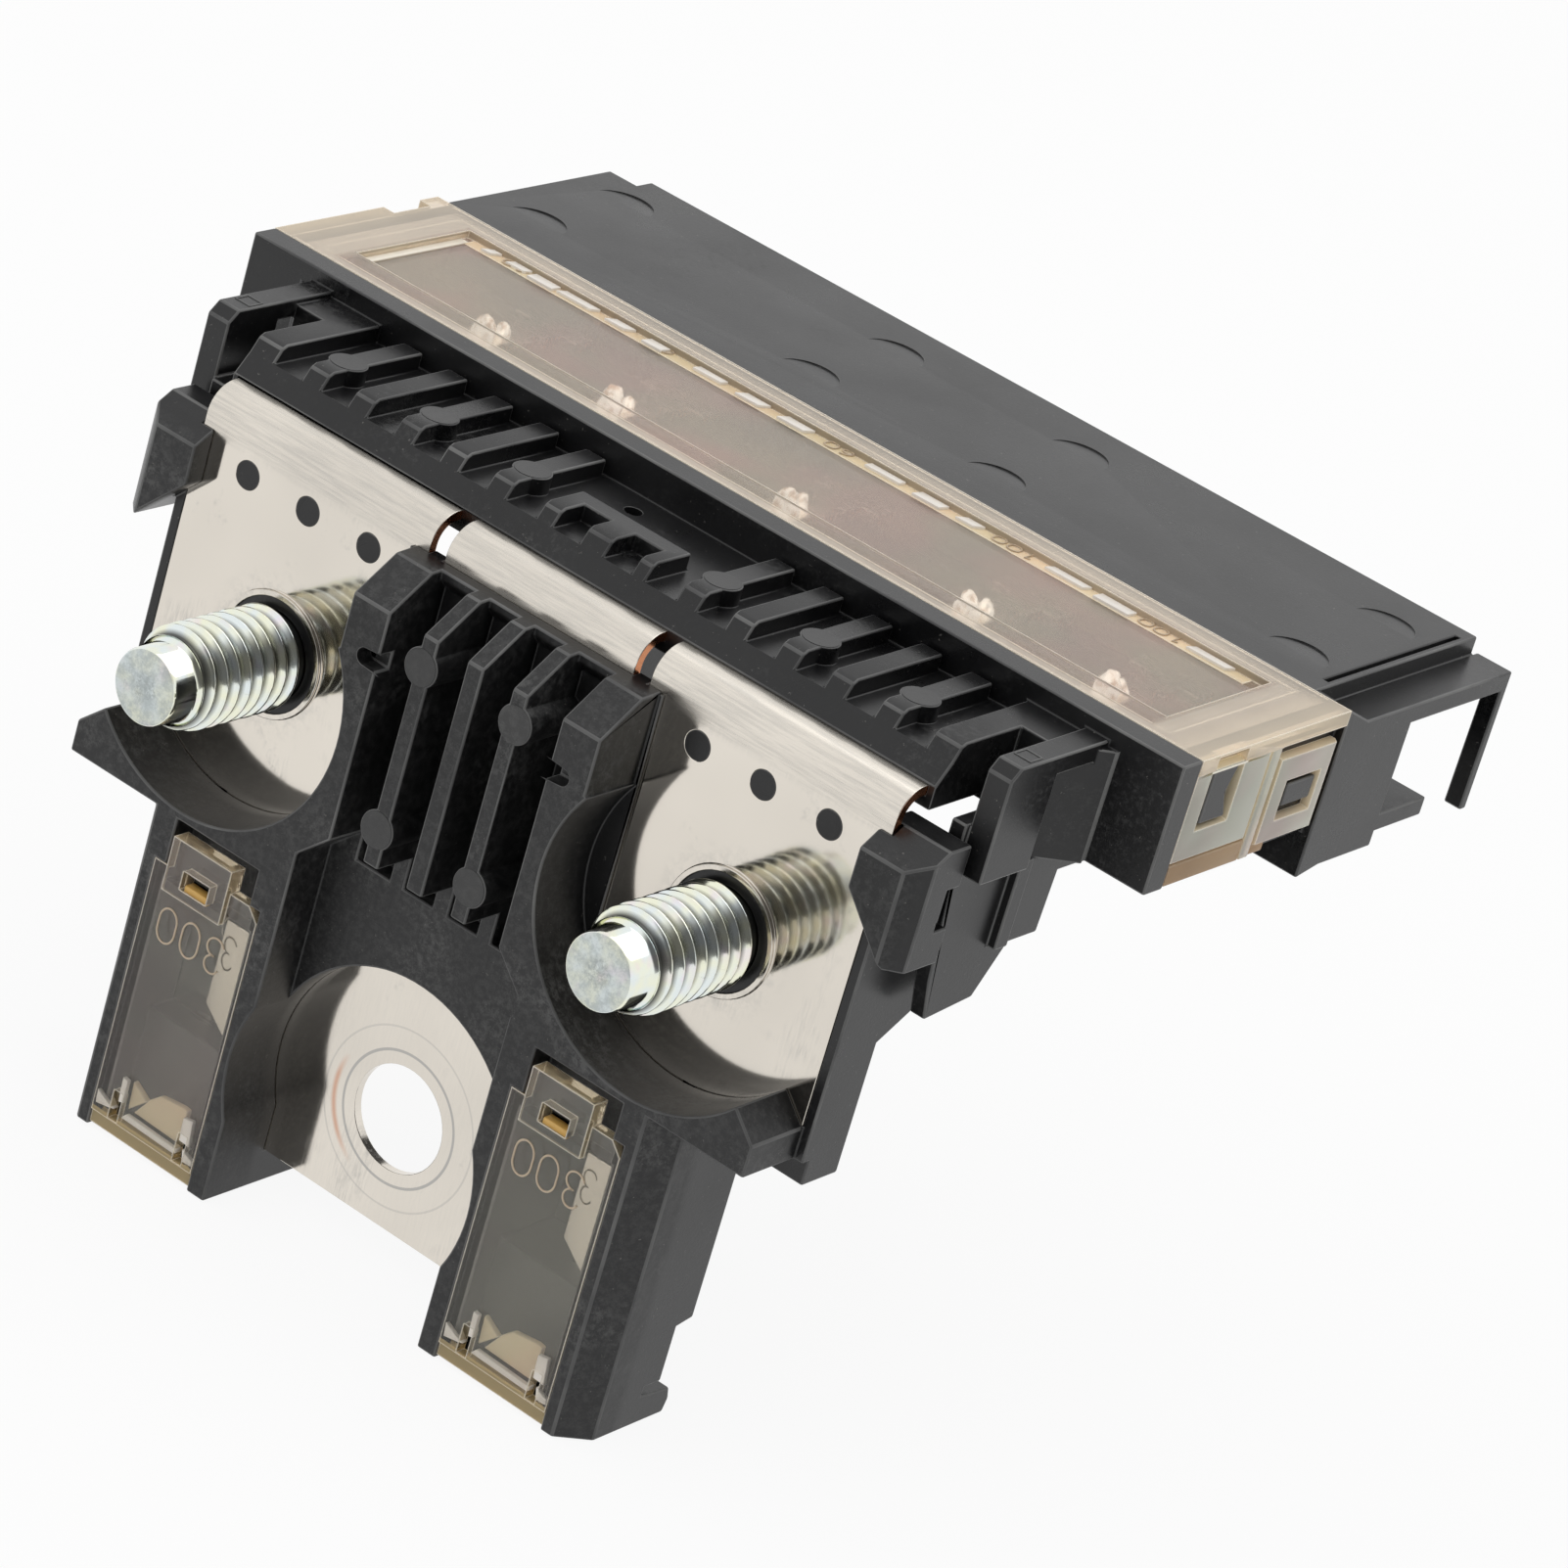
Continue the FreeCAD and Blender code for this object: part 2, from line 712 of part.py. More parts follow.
def holder(name, sign):
    """Box round one large link on one side of the middle."""
    def across(text):
        return text if sign > 0 else minus(text)
    plan = prism(f"{name}_plan", "XY", [
        (across("holder_inner"), "front"),
        (across("holder_face"), "front"),
        (across("holder_outer"), "holder_side"),
        (across("holder_outer"), "holder_back"),
        (across("holder_inner"), "holder_back"),
    ], "holder_low", "wing_low")
    low, high = ("holder_inner", "holder_outer") if sign > 0 else (minus("holder_outer"),
                                                                  minus("holder_inner"))
    side = prism(f"{name}_side", "YZ", [
        ("front", "holder_low"),
        ("holder_back - foot_edge", "holder_low"),
        ("holder_back", "holder_low + foot_round"),
        ("holder_back - foot_edge", "holder_low + foot_high"),
        ("holder_back - foot_nick", "holder_low + foot_high + foot_edge"),
        ("holder_back - foot_nick", "holder_low + foot_nick_high"),
        ("holder_back - foot_step_deep", "holder_low + foot_nick_high"),
        ("holder_back - foot_step_deep", "holder_low + foot_step - foot_edge"),
        ("holder_back", "holder_low + foot_step"),
        ("holder_back", "wing_low"),
        ("front", "wing_low"),
    ], low, high)
    return common(name, [plan, side])


def holder_hollows(name, x):
    """Seat of the cover, the link bay, the foot bay and the latch pocket."""
    bay = (f"{x} - bay_half", f"{x} + bay_half")
    seat = (f"{x} - cover_half", f"{x} + cover_half")
    middle = f"{x} - loop_shift"
    room = block(f"{name}_pocket_room", (f"{x} - pocket_half", f"{x} + pocket_half"),
                 ("front", "pocket_back"), ("loop_low", "pocket_top"))
    catch_half = "loop_hole_half - catch_gap"
    catch = block(f"{name}_catch", (f"{middle} - ({catch_half})", f"{middle} + {catch_half}"),
                  ("front + catch_inset", "pocket_back"),
                  ("loop_hole_low + catch_low", "loop_hole_top - catch_gap"))
    depth = ("front", "front + cover_thick")
    return [
        block(f"{name}_bay", bay, ("front + cover_thick", "bay_back"), ("bay_floor", "bay_top")),
        block(f"{name}_foot_bay", bay, ("front + cover_thick", "foot_bay_back"),
              ("cover_low", "bay_floor")),
        block(f"{name}_seat_low", seat, depth, ("holder_low", "cover_left")),
        block(f"{name}_seat_high", (f"{x} + loop_half - loop_shift", f"{x} + cover_half"), depth,
              ("cover_left", "cover_right")),
        cut(f"{name}_pocket", room, [catch]),
    ]


def make_front_housing(busbar, studs):
    """Moulding round the eyelet, the stud bowls and the large links."""
    top = "block_top"
    face = prism("face_block", "XZ", both([
        ("holder_inner", "block_low"),
        ("holder_inner", "wing_low"),
        ("wing_tip", "wing_low"),
        ("wing_tip", "wing_tip_top"),
        ("wing_arc_x", "wing_arc_z"),
        ("block_half", "block_side_low"),
        ("block_half", top),
    ]), "front", "sheet_thick")
    crown = prism("crown", "YZ", [
        ("front", "block_low"),
        ("sheet_thick", "block_low"),
        ("sheet_thick", top),
        ("crown_y", f"{top} - crown_drop"),
        ("front", "block_chamfer"),
    ], minus("wing_tip"), "wing_tip")
    bowls = pair(rod("bowl", "y", ("lug_x", "front", "lug_z"), "bowl_r", "-front"))
    front = cut("face_open", common("face_solid", [face, crown]), bowls)

    back = prism("back_body", "YZ", [
        ("sheet_thick", "body_low"),
        ("holder_back", "body_low"),
        ("holder_back", "body_slope"),
        ("body_back", "body_slope_end"),
        ("body_back", "body_top_back"),
        ("sheet_thick", "body_top_front"),
    ], minus("body_half"), "body_half")
    shoulder = pair(block("edge_strip", ("plate_edge", "body_half"), ("0", "holder_back"),
                          ("wing_low", "body_top_front")))
    ledge = pair(block("skin_ledge", ("centre_half", "skin_edge"), ("-skin", "0"),
                       ("plate_low", "block_top - crown_drop")))
    tower = block("tower", (minus("tower_half"), "tower_half"), ("tower_front", "body_back"),
                  ("tower_low", "tower_top"))
    discs = []
    for name, z in (("high", "disc_high"), ("low", "disc_low")):
        discs += pair(rod(f"disc_{name}", "y", ("disc_x", "front", z), "disc_r", "-front"))
    plugs = []
    for step in (-1, 0, 1):
        place = (f"lug_x + {step} * plug_pitch", "0", "plug_z")
        plugs += pair(rod(f"plug_{step + 2}", "y", place, "plug_r", "sheet_thick"))
    clips = pair(make_clip())

    grooves = []
    for name, low, high in (("inner", "groove_inner", "rib_inner"), ("outer", "rib_outer", "groove_outer")):
        grooves += pair(prism(f"groove_{name}", "YZ", [
            ("front", "recess_side"),
            ("groove_floor", "recess_side"),
            ("groove_floor", "block_top - 2 * groove_slope"),
            ("groove_end", "block_top - groove_slope"),
            ("groove_end", "block_top"),
            ("front", "block_top"),
        ], low, high))
    recess = prism("recess", "XZ", both([
        ("recess_half", "holder_low"),
        ("recess_half", "recess_side"),
        ("recess_corner", "recess_top"),
    ]), "front", "recess_floor")
    dish = rod("dish", "y", ("0", "front", "0"), "recess_r", "-front")
    holes = pair(rod("stud_room", "y", ("lug_x", "0", "lug_z"), "stud_hole_r", "sheet_thick"))
    keys = pair(block("key_slot", ("groove_outer", "key_end"), ("front", "front + pin_deep"),
                      ("key_z - key_r", "key_z + key_r")))
    keys += pair(rod("key_round", "y", ("key_end", "front", "key_z"), "key_r", "pin_deep"))
    pin = rod("pin_mark", "y", ("pin_x", "front", "pin_z"), "pin_r", "pin_deep")

    holders = []
    hollows = []
    for name, x, sign in (("left", minus("cover_x"), -1), ("right", "cover_x", 1)):
        holders.append(holder(f"holder_{name}", sign))
        hollows += holder_hollows(f"holder_{name}", x)

    carved = cut("face_carved", fuse("face_joined", [front] + ledge), grooves)
    solid = fuse("front_solid", [carved, back, tower] + shoulder + discs + plugs + clips + holders)
    tools = [recess, dish, pin] + keys + hollows + holes + [busbar] + studs
    return cut("front_housing", solid, tools)


def make_clip():
    """Latch block at the upper corner of the stud plate."""
    face = prism("clip_face_view", "XZ", [
        ("clip_inner", "clip_slant"),
        ("clip_face + clip_toe", "clip_low"),
        ("clip_outer", "clip_low"),
        ("clip_outer", "clip_top"),
        ("clip_inner", "clip_top"),
    ], "clip_front", "clip_back")
    side = prism("clip_side_view", "YZ", [
        ("clip_front", "clip_low"),
        ("clip_back", "clip_low"),
        ("clip_back", "clip_top"),
        ("clip_top_y", "clip_top"),
        ("clip_front", "clip_edge"),
    ], "clip_inner", "clip_outer")
    plan = prism("clip_plan_view", "XY", [
        ("clip_inner", "clip_front"),
        ("clip_face", "clip_front"),
        ("clip_outer", "clip_front + clip_chamfer"),
        ("clip_outer", "clip_back"),
        ("clip_inner", "clip_back"),
    ], "clip_low", "clip_top")
    notch = block("clip_notch", ("clip_outer - clip_notch_deep", "clip_outer"),
                  ("clip_back - clip_chamfer", "clip_back"), ("clip_notch_low", "clip_notch_top"))
    return cut("clip", common("clip_solid", [face, side, plan]), [notch])


def rib_field():
    """Ribbed shelf over the bent strips, with pads and the centre bracket."""
    slab = prism("field", "YZ", [
        ("shelf_y", "field_low"),
        ("frame_front", "field_low"),
        ("frame_front", "rib_top"),
        ("ramp_y + ramp_round", "rib_top"),
        ("ramp_y", "rib_top - ramp_round / 2"),
        ("shelf_y + ramp_foot", "rib_floor"),
        ("shelf_y", "shelf_z"),
    ], minus("field_half"), "field_half")
    depth = ("rib_floor", "rib_top")
    tools = []
    for step in range(5):
        low = f"rib_first + rib_half + {step} * rib_pitch"
        high = "field_edge" if step == 4 else f"rib_first - rib_half + {step + 1} * rib_pitch"
        tools += pair(block(f"pocket_{step + 1}", (low, high), ("shelf_y", "rib_back"), depth))
    tools += pair(block("pocket_inner", ("bracket_half", "rib_first - rib_half"),
                        ("shelf_y", "rib_back"), depth))
    tools += [
        block("pocket_behind", (minus("bracket_half"), "bracket_half"), ("bracket_back", "rib_back"), depth),
        block("notch_low", (minus("notch_left"), minus("notch_mid_left")), ("shelf_y", "notch_back"), depth),
        block("notch_high", ("notch_mid_right", "notch_right"), ("shelf_y", "notch_back"), depth),
        block("trough", (minus("field_edge"), "field_edge"), ("rib_back", "frame_front"), depth),
        rod("vent", "z", ("vent_x", "vent_y", "rib_floor - vent_deep"), "vent_r", "vent_deep"),
    ]
    pads = []
    for step in (0, 2, 4):
        place = (f"rib_first + {step} * rib_pitch", "pad_y", "rib_floor")
        pads += pair(rod(f"pad_{step + 1}", "z", place, "pad_r", "rib_top - rib_floor"))
    return fuse("rib_field", [cut("field_carved", slab, tools)] + pads)


def side_arm():
    """Shoulder, hanging arm and tongue plate at one end of the rib field."""
    shoulder = prism("shoulder", "XY", [
        ("shoulder_inner", "slit_back"),
        ("arm_inner", "slit_back"),
        ("shoulder_half", "frame_front"),
        ("shoulder_inner", "frame_front"),
    ], "shoulder_low", "rib_top")
    arm = prism("arm", "YZ", [
        ("arm_front", "arm_low"),
        ("arm_back", "arm_low"),
        ("arm_back", "arm_plate_low"),
        ("frame_front", "arm_plate_low"),
        ("frame_front", "arm_top"),
        ("arm_front + arm_round", "arm_top"),
        ("arm_front", "arm_top - arm_round"),
    ], "arm_inner", "arm_outer")
    tongue = prism("tongue", "YZ", [
        ("tongue_front", "field_low"),
        ("tongue_front", "field_low - tongue_neck"),
        ("tongue_front + tongue_lean", "tongue_low + tongue_bevel"),
        ("tongue_toe_front", "tongue_low"),
        ("tongue_toe", "tongue_low + tongue_toe_rise"),
        ("tongue_step_front", "tongue_step"),
        ("tongue_heel", "tongue_step"),
        ("tongue_heel + tongue_heel_lean", "tongue_end_low"),
        ("tongue_end", "tongue_end_low"),
        ("tongue_end", "frame_low"),
        ("frame_front", "frame_low"),
        ("frame_front", "field_low"),
    ], "tongue_inner", "arm_inner")
    rib = block("tongue_rib", ("arm_inner", "tongue_rib_out"), ("tongue_rib_front", "tongue_rib_back"),
                ("tongue_rib_low", "shoulder_low"))
    return fuse("side_arm", [shoulder, arm, tongue, rib])


def frame():
    """Open frame round the row of small links."""
    wall = block("frame_wall", (minus("frame_half"), "frame_half"), ("frame_front", "frame_rim"),
                 ("frame_low", "top"))
    floor = block("frame_bottom", (minus("wall_half"), "wall_half"), ("frame_rim", "box_front"),
                  ("frame_low", "frame_floor"))
    ends = pair(block("frame_end", ("wall_half - wall_thick", "wall_half"), ("frame_rim", "box_front"),
                      ("frame_floor", "seat")))
    under = ("frame_floor", "strip_top - sheet_thick")
    across = (minus("wall_half"), "wall_half")
    ledge = block("link_ledge", across, ("frame_rim", "ledge_back"), under)
    sill = block("link_sill", across, ("sill_front", "box_front"), under)
    catch = prism("catch_front", "YZ", [
        ("leg_eye_front + hook_gap", "leg_eye_low + hook_gap"),
        ("leg_eye_back - hook_gap", "leg_eye_low + hook_gap"),
        ("leg_eye_back - hook_gap - hook_waist", "(leg_eye_low + seat) / 2"),
        ("leg_eye_back - hook_gap", "seat"),
        ("leg_eye_front + hook_gap", "seat"),
    ], "wall_half", "frame_half - catch_gap")
    wedge = block("catch_back", ("wall_half", "frame_half - catch_gap"),
                  ("loop_eye_front + hook_gap", "loop_eye_back - hook_gap"),
                  ("loop_eye_low + hook_waist", "loop_eye_top - hook_gap"))
    return fuse("frame", [wall, floor, ledge, sill, catch, wedge] + ends)


def mark(name, x, y):
    """Shallow round mark that leans into the top face."""
    item = doc.addObject("Part::Cylinder", name)
    item.Placement = Placement(Vector(), Rotation(Vector(-1, 0, 0), 1))
    for letter, value in (("x", x), ("y", y), ("z", "top")):
        item.setExpression(f"Placement.Base.{letter}", formula(value))
    item.setExpression("Placement.Rotation.Angle", formula("mark_tilt"))
    item.setExpression("Radius", formula("mark_r"))
    item.setExpression("Height", formula("mark_high"))
    return item


def socket_end():
    """Outline of a socket end wall with its window and leg."""
    return [
        ("box_core", "box_low"),
        ("box_core + socket_slope", "socket_floor_low"),
        ("socket_floor_end", "socket_floor_low"),
        ("socket_floor_end", "socket_floor"),
        ("box_core", "socket_floor"),
        ("box_core", "window_top"),
        ("socket_leg", "window_top"),
        ("socket_leg", "socket_leg_low"),
        ("box_back", "socket_leg_low"),
        ("box_back", "roof_low"),
        ("box_core", "roof_low"),
    ]


def rear_box():
    """Connector box behind the frame with sockets open to the back."""
    width = (minus("box_left"), "box_split")
    wide = (minus("box_left"), "frame_half")
    core = prism("core", "YZ", [
        ("box_front", "box_low - box_toe_drop"),
        ("box_front + box_toe", "box_low"),
        ("box_core", "box_low"),
        ("box_core", "top"),
        ("box_front", "top"),
    ], *width)
    side_core = prism("side_core", "YZ", [
        ("box_front", "box_low - box_toe_drop"),
        ("box_front + box_toe", "box_low"),
        ("box_core", "box_low"),
        ("box_core", "ledge_top"),
        ("ledge_front", "ledge_top"),
        ("box_front", "top"),
    ], "box_split", "frame_half")
    roof = block("roof", width, ("box_core", "box_back"), ("roof_low", "top"))
    side_roof = block("side_roof", ("box_split", "frame_half"), ("box_core", "ledge_end"),
                      ("roof_low", "ledge_top"))
    floor = block("socket_base", wide, ("box_core", "socket_floor_end"), ("socket_floor_low", "socket_floor"))
    dividers = pair(block("divider", ("divider_x - divider_half", "divider_x + divider_half"),
                          ("box_core", "box_back"), ("socket_floor", "roof_low")))
    right = prism("end_right", "YZ", socket_end(), "frame_half - end_thick", "frame_half")
    leg = block("end_leg", ("frame_half - end_thick", "frame_half"), ("box_back", "ledge_end"),
                ("socket_leg_low", "roof_low"))
    left = prism("end_left", "YZ", socket_end(), minus("box_left"), "end_thick - box_left")
    solid = fuse("box_solid", [core, side_core, roof, side_roof, floor, right, leg, left] + dividers)
    corner = block("corner_cut", (minus("box_left"), "corner_wide - box_left"),
                   ("box_back - corner_deep", "box_back"),
                   ("socket_floor_low", "top"))
    line = block("line_cut", ("line_x - line_half", "line_x + line_half"),
                 ("box_front + line_start", "box_back - line_stop"), ("top - line_deep", "top"))
    marks = []
    for place, x, y in (("left", minus("mark_left"), "mark_front"),
                        ("mid_left", minus("mark_mid_left"), "mark_front"),
                        ("mid_right", "mark_mid_right", "mark_front"),
                        ("right", "mark_right", "mark_front - mark_step")):
        marks.append(mark(f"mark_{place}_front", x, y))
        marks.append(mark(f"mark_{place}_back", x, "mark_back"))
    return cut("rear_box", solid, [corner, line] + marks)


def make_upper_housing(busbar):
    """Moulding with the rib field, both arms, the frame and the connector box."""
    parts = [rib_field(), frame(), rear_box()] + pair(side_arm())
    return cut("upper_housing", fuse("upper_solid", parts), [busbar])


def make_top_cover():
    """Clear lid over the row of small links with snap legs at both ends."""
    plate = prism("lid_plate", "XY", [
        (minus("frame_half"), "frame_rim"),
        ("frame_half", "frame_rim"),
        ("frame_half", "box_front"),
        (minus("frame_half"), "box_front"),
        (minus("frame_half"), "nick_back"),
        ("nick_deep - frame_half", "nick_back"),
        ("nick_deep - frame_half", "nick_front"),
        (minus("frame_half"), "nick_front"),
    ], "seat", "top")
    side = ("wall_half", "frame_half")
    leg = block("lid_leg", side, ("frame_rim", "lid_leg_back"), ("lid_leg_bottom", "seat"))
    bar = block("lid_bar", side, ("lid_leg_back", "lid_bar_back"), ("lid_leg_low", "seat"))
    foot = block("lid_foot", side, ("lid_foot_front", "lid_foot_back"), ("lid_leg_low", "lid_leg_bottom"))
    loop = block("lid_loop", side, ("lid_bar_back", "lid_loop_back"), ("lid_loop_bottom", "lid_gap_low"))
    far = block("lid_leg_left", (minus("frame_half"), minus("wall_half")), ("far_leg_front", "nick_front"),
                ("lid_leg_bottom", "seat"))
    solid = fuse("lid_solid", [plate, leg, bar, foot, loop, far])
    window = block("lid_window", (minus("lid_window"), "lid_window"),
                   ("lid_window_front", "lid_window_back"), ("lid_window_z", "top"))
    leg_eye = block("lid_leg_eye", side, ("leg_eye_front", "leg_eye_back"), ("leg_eye_low", "leg_eye_top"))
    loop_eye = block("lid_loop_eye", side, ("loop_eye_front", "loop_eye_back"),
                     ("loop_eye_low", "loop_eye_top"))
    return cut("top_cover", solid, [window, leg_eye, loop_eye])


def check(nodes):
    """Stop when any object failed or any exported solid is not sound."""
    for item in doc.Objects:
        if "Invalid" in item.State or "Error" in item.State:
            raise RuntimeError(f"{item.Name} is in state {item.State}")
    for node in nodes:
        if node.Shape.isNull() or not node.Shape.isValid():
            raise RuntimeError(f"{node.Label} has no valid shape")
        box = node.Shape.BoundBox
        print(f"{node.Label}: {len(node.Shape.Solids)} solid, {node.Shape.Volume:.1f} mm3,",
              f"x {box.XMin:.2f} {box.XMax:.2f} y {box.YMin:.2f} {box.YMax:.2f}",
              f"z {box.ZMin:.2f} {box.ZMax:.2f}")


def main():
    """Build every piece, check it and export it."""
    fill_sheet()
    busbar = make_busbar()
    studs = [make_stud("stud_left", minus("lug_x")), make_stud("stud_right", "lug_x")]
    pellets = [make_pellet(f"tin_pellet_{name}", x, busbar) for name, x in row_places()]
    covers = [link_cover("cover_left", minus("cover_x")), link_cover("cover_right", "cover_x")]
    front = make_front_housing(busbar, studs)
    upper = make_upper_housing(busbar)
    lid = make_top_cover()
    nodes = [busbar, front, upper, lid] + studs + covers + pellets
    for node in nodes:
        node.Label = node.Name
    doc.recompute()
    check(nodes)
    for node in nodes:
        node.Shape.exportStep(f"parts/{node.Label}.step")


main()
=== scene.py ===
"""Looks of a battery terminal fuse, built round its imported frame.

Sizes are in millimetres until a mesh is made, X runs along the length, Y points
away from the studs and Z points up. The origin is the centre of the eyelet hole.
"""
import logging
import math
from dataclasses import dataclass
from enum import Enum
from typing import Iterable, Sequence

import bmesh
import bpy
from mathutils import Matrix, Vector


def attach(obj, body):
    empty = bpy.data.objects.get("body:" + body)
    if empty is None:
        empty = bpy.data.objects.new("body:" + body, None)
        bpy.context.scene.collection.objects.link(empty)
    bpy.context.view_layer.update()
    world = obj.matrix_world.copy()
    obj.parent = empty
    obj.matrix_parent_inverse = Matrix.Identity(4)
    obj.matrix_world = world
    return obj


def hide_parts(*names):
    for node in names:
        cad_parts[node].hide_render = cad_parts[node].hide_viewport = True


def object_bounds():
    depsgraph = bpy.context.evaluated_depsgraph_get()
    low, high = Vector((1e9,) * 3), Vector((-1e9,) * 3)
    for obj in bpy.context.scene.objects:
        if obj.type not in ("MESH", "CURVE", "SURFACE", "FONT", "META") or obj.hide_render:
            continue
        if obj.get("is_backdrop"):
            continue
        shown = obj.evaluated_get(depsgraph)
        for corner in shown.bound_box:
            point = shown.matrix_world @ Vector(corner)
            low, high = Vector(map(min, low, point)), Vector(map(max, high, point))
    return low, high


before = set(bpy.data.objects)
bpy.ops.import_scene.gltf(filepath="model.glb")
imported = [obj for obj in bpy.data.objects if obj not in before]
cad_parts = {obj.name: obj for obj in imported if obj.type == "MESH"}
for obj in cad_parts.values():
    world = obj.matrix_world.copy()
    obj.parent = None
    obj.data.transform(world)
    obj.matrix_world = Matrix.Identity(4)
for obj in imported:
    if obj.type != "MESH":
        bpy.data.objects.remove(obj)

LOG = logging.getLogger("battery_terminal_fuse")
MM = 0.001
ROOT = "root"
CAD_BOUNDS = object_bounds()
STUD_AXIS = (21.5, 0.0, 27.3)

Colour = tuple[float, float, float]
Point = tuple[float, float, float]
Flat = tuple[float, float]
Socket = bpy.types.NodeSocket
Value = float | Socket
Tint = Colour | Socket
Material = bpy.types.Material
Piece = bpy.types.Object


class Side(Enum):
    """End of the part along X."""

    LEFT = -1
    RIGHT = 1

    @property
    def label(self) -> str:
        """Name of the end in lower case."""
        return self.name.lower()


class Slot(Enum):
    """Material slot of the record that a piece takes its finish from."""

    TIN = "tinned_copper"
    NYLON = "black_nylon"
    ZINC = "zinc_steel"
    CLEAR = "clear_cover"
    PELLET = "tin_pellet"


class Graph:
    """Adds nodes to one node tree and links them."""

    def __init__(self, tree: bpy.types.NodeTree) -> None:
        """Keep the tree and empty it.

        Args:
            tree: Node tree of a material, a world or a geometry group.
        """
        self.tree = tree
        tree.nodes.clear()

    def add(self, kind: str, values: dict | None = None, **settings: object) -> bpy.types.Node:
        """Add one node.

        Args:
            kind: Node type.
            values: Socket name or index to a constant or an output socket.
            **settings: Node properties.

        Returns:
            The new node.
        """
        node = self.tree.nodes.new(kind)
        for name, value in settings.items():
            setattr(node, name, value)
        for key, value in (values or {}).items():
            if isinstance(value, Socket):
                self.tree.links.new(value, node.inputs[key])
            else:
                node.inputs[key].default_value = value
        return node

    def math(self, operation: str, *values: Value) -> Socket:
        """Scalar operation on constants or sockets."""
        return self.add("ShaderNodeMath", dict(enumerate(values)), operation=operation).outputs[0]

    def plus(self, *values: Value) -> Socket:
        """Sum of two values."""
        return self.math("ADD", *values)

    def minus(self, *values: Value) -> Socket:
        """First value less the second."""
        return self.math("SUBTRACT", *values)

    def times(self, *values: Value) -> Socket:
        """Product of two values."""
        return self.math("MULTIPLY", *values)

    def most(self, *values: Value) -> Socket:
        """Larger of two values."""
        return self.math("MAXIMUM", *values)

    def size(self, value: Value) -> Socket:
        """Value without its sign."""
        return self.math("ABSOLUTE", value)

    def changed(self, value: Value, *changes: tuple[Socket, float]) -> Socket:
        """Value to which shares add their amounts.

        Args:
            value: Number or socket to start from.
            *changes: Share socket, and what a full share adds.

        Returns:
            The result socket.
        """
        for share, amount in changes:
            value = self.plus(self.times(share, amount), value)
        return value

    def vector(self, operation: str, *values: Point | Socket, out: int = 0) -> Socket:
        """Vector operation on constants or sockets."""
        return self.add("ShaderNodeVectorMath", dict(enumerate(values)), operation=operation).outputs[out]

    def scaled(self, vector: Socket, scale: Socket) -> Socket:
        """Vector times a number."""
        return self.add("ShaderNodeVectorMath", {0: vector, "Scale": scale}, operation="SCALE").outputs[0]

    def split(self, vector: Socket) -> bpy.types.NodeOutputs:
        """X, Y and Z of a vector."""
        return self.add("ShaderNodeSeparateXYZ", {0: vector}).outputs

    def reach(self, where: Socket, axis: Point = (0.0, 0.0, 0.0)) -> Socket:
        """Distance from an axis along Y, given by a point on the right, or from its mirror image."""
        offset = self.vector("SUBTRACT", self.vector("ABSOLUTE", where), axis)
        return self.vector("LENGTH", self.vector("MULTIPLY", offset, (1.0, 0.0, 1.0)), out=1)

    def span(self, value: Socket, low: float, high: float, start: float = 0.0, end: float = 1.0) -> Socket:
        """Value that goes from start to end as the input goes from low to high."""
        sockets = {"Value": value, "From Min": low, "From Max": high, "To Min": start, "To Max": end}
        return self.add("ShaderNodeMapRange", sockets, clamp=True).outputs["Result"]

    def blend(self, factor: Socket, low: Tint, high: Tint) -> Socket:
        """Mix of two colours or sockets, where the factor is the share of the second."""
        sockets = {0: factor, 6: rgba(low), 7: rgba(high)}
        return self.add("ShaderNodeMix", sockets, data_type="RGBA").outputs[2]

    def noise(self, where: Socket, scale: float, detail: float = 3.0, rough: float = 0.55) -> Socket:
        """Fractal noise between 0 and 1, with a scale in cells per millimetre."""
        sockets = {"Vector": where, "Scale": scale, "Detail": detail, "Roughness": rough}
        return self.add("ShaderNodeTexNoise", sockets).outputs[0]

    def place(self) -> Socket:
        """Object coordinates in millimetres."""
        return self.vector("MULTIPLY", self.add("ShaderNodeTexCoord").outputs["Object"], (1000.0,) * 3)

    def bump(self, strength: float, depth: float, height: Socket, **more: Socket) -> Socket:
        """Bumped normal, with a depth in millimetres."""
        sockets = {"Strength": strength, "Distance": depth * MM, "Height": height, **more}
        return self.add("ShaderNodeBump", sockets).outputs[0]

    def principled(self, sockets: dict) -> Socket:
        """Principled shader with these sockets."""
        return self.add("ShaderNodeBsdfPrincipled", sockets).outputs[0]

    def layered(self, share: Socket, below: Socket, above: Socket) -> Socket:
        """One shader over another, by a share between 0 and 1."""
        return self.add("ShaderNodeMixShader", {0: share, 1: below, 2: above}).outputs[0]


def rgba(value: Tint) -> tuple | Socket:
    """Colour with its alpha, or the socket as it is."""
    return value if isinstance(value, Socket) else (*value, 1.0)


def tinted(colour: Colour, scales: Colour) -> Colour:
    """Colour times one scale for each channel."""
    return tuple(part * scale for part, scale in zip(colour, scales))


class Finish:
    """A surface finish that becomes one material."""

    name: str

    def build(self) -> Material:
        """Make the material.

        Returns:
            The new material.
        """
        material = bpy.data.materials.new(self.name)
        material.use_nodes = True
        graph = Graph(material.node_tree)
        graph.add("ShaderNodeOutputMaterial", {"Surface": self.surface(graph)})
        return material

    def surface(self, graph: Graph) -> Socket:
        """Build the shader of this finish and return its socket."""
        raise NotImplementedError


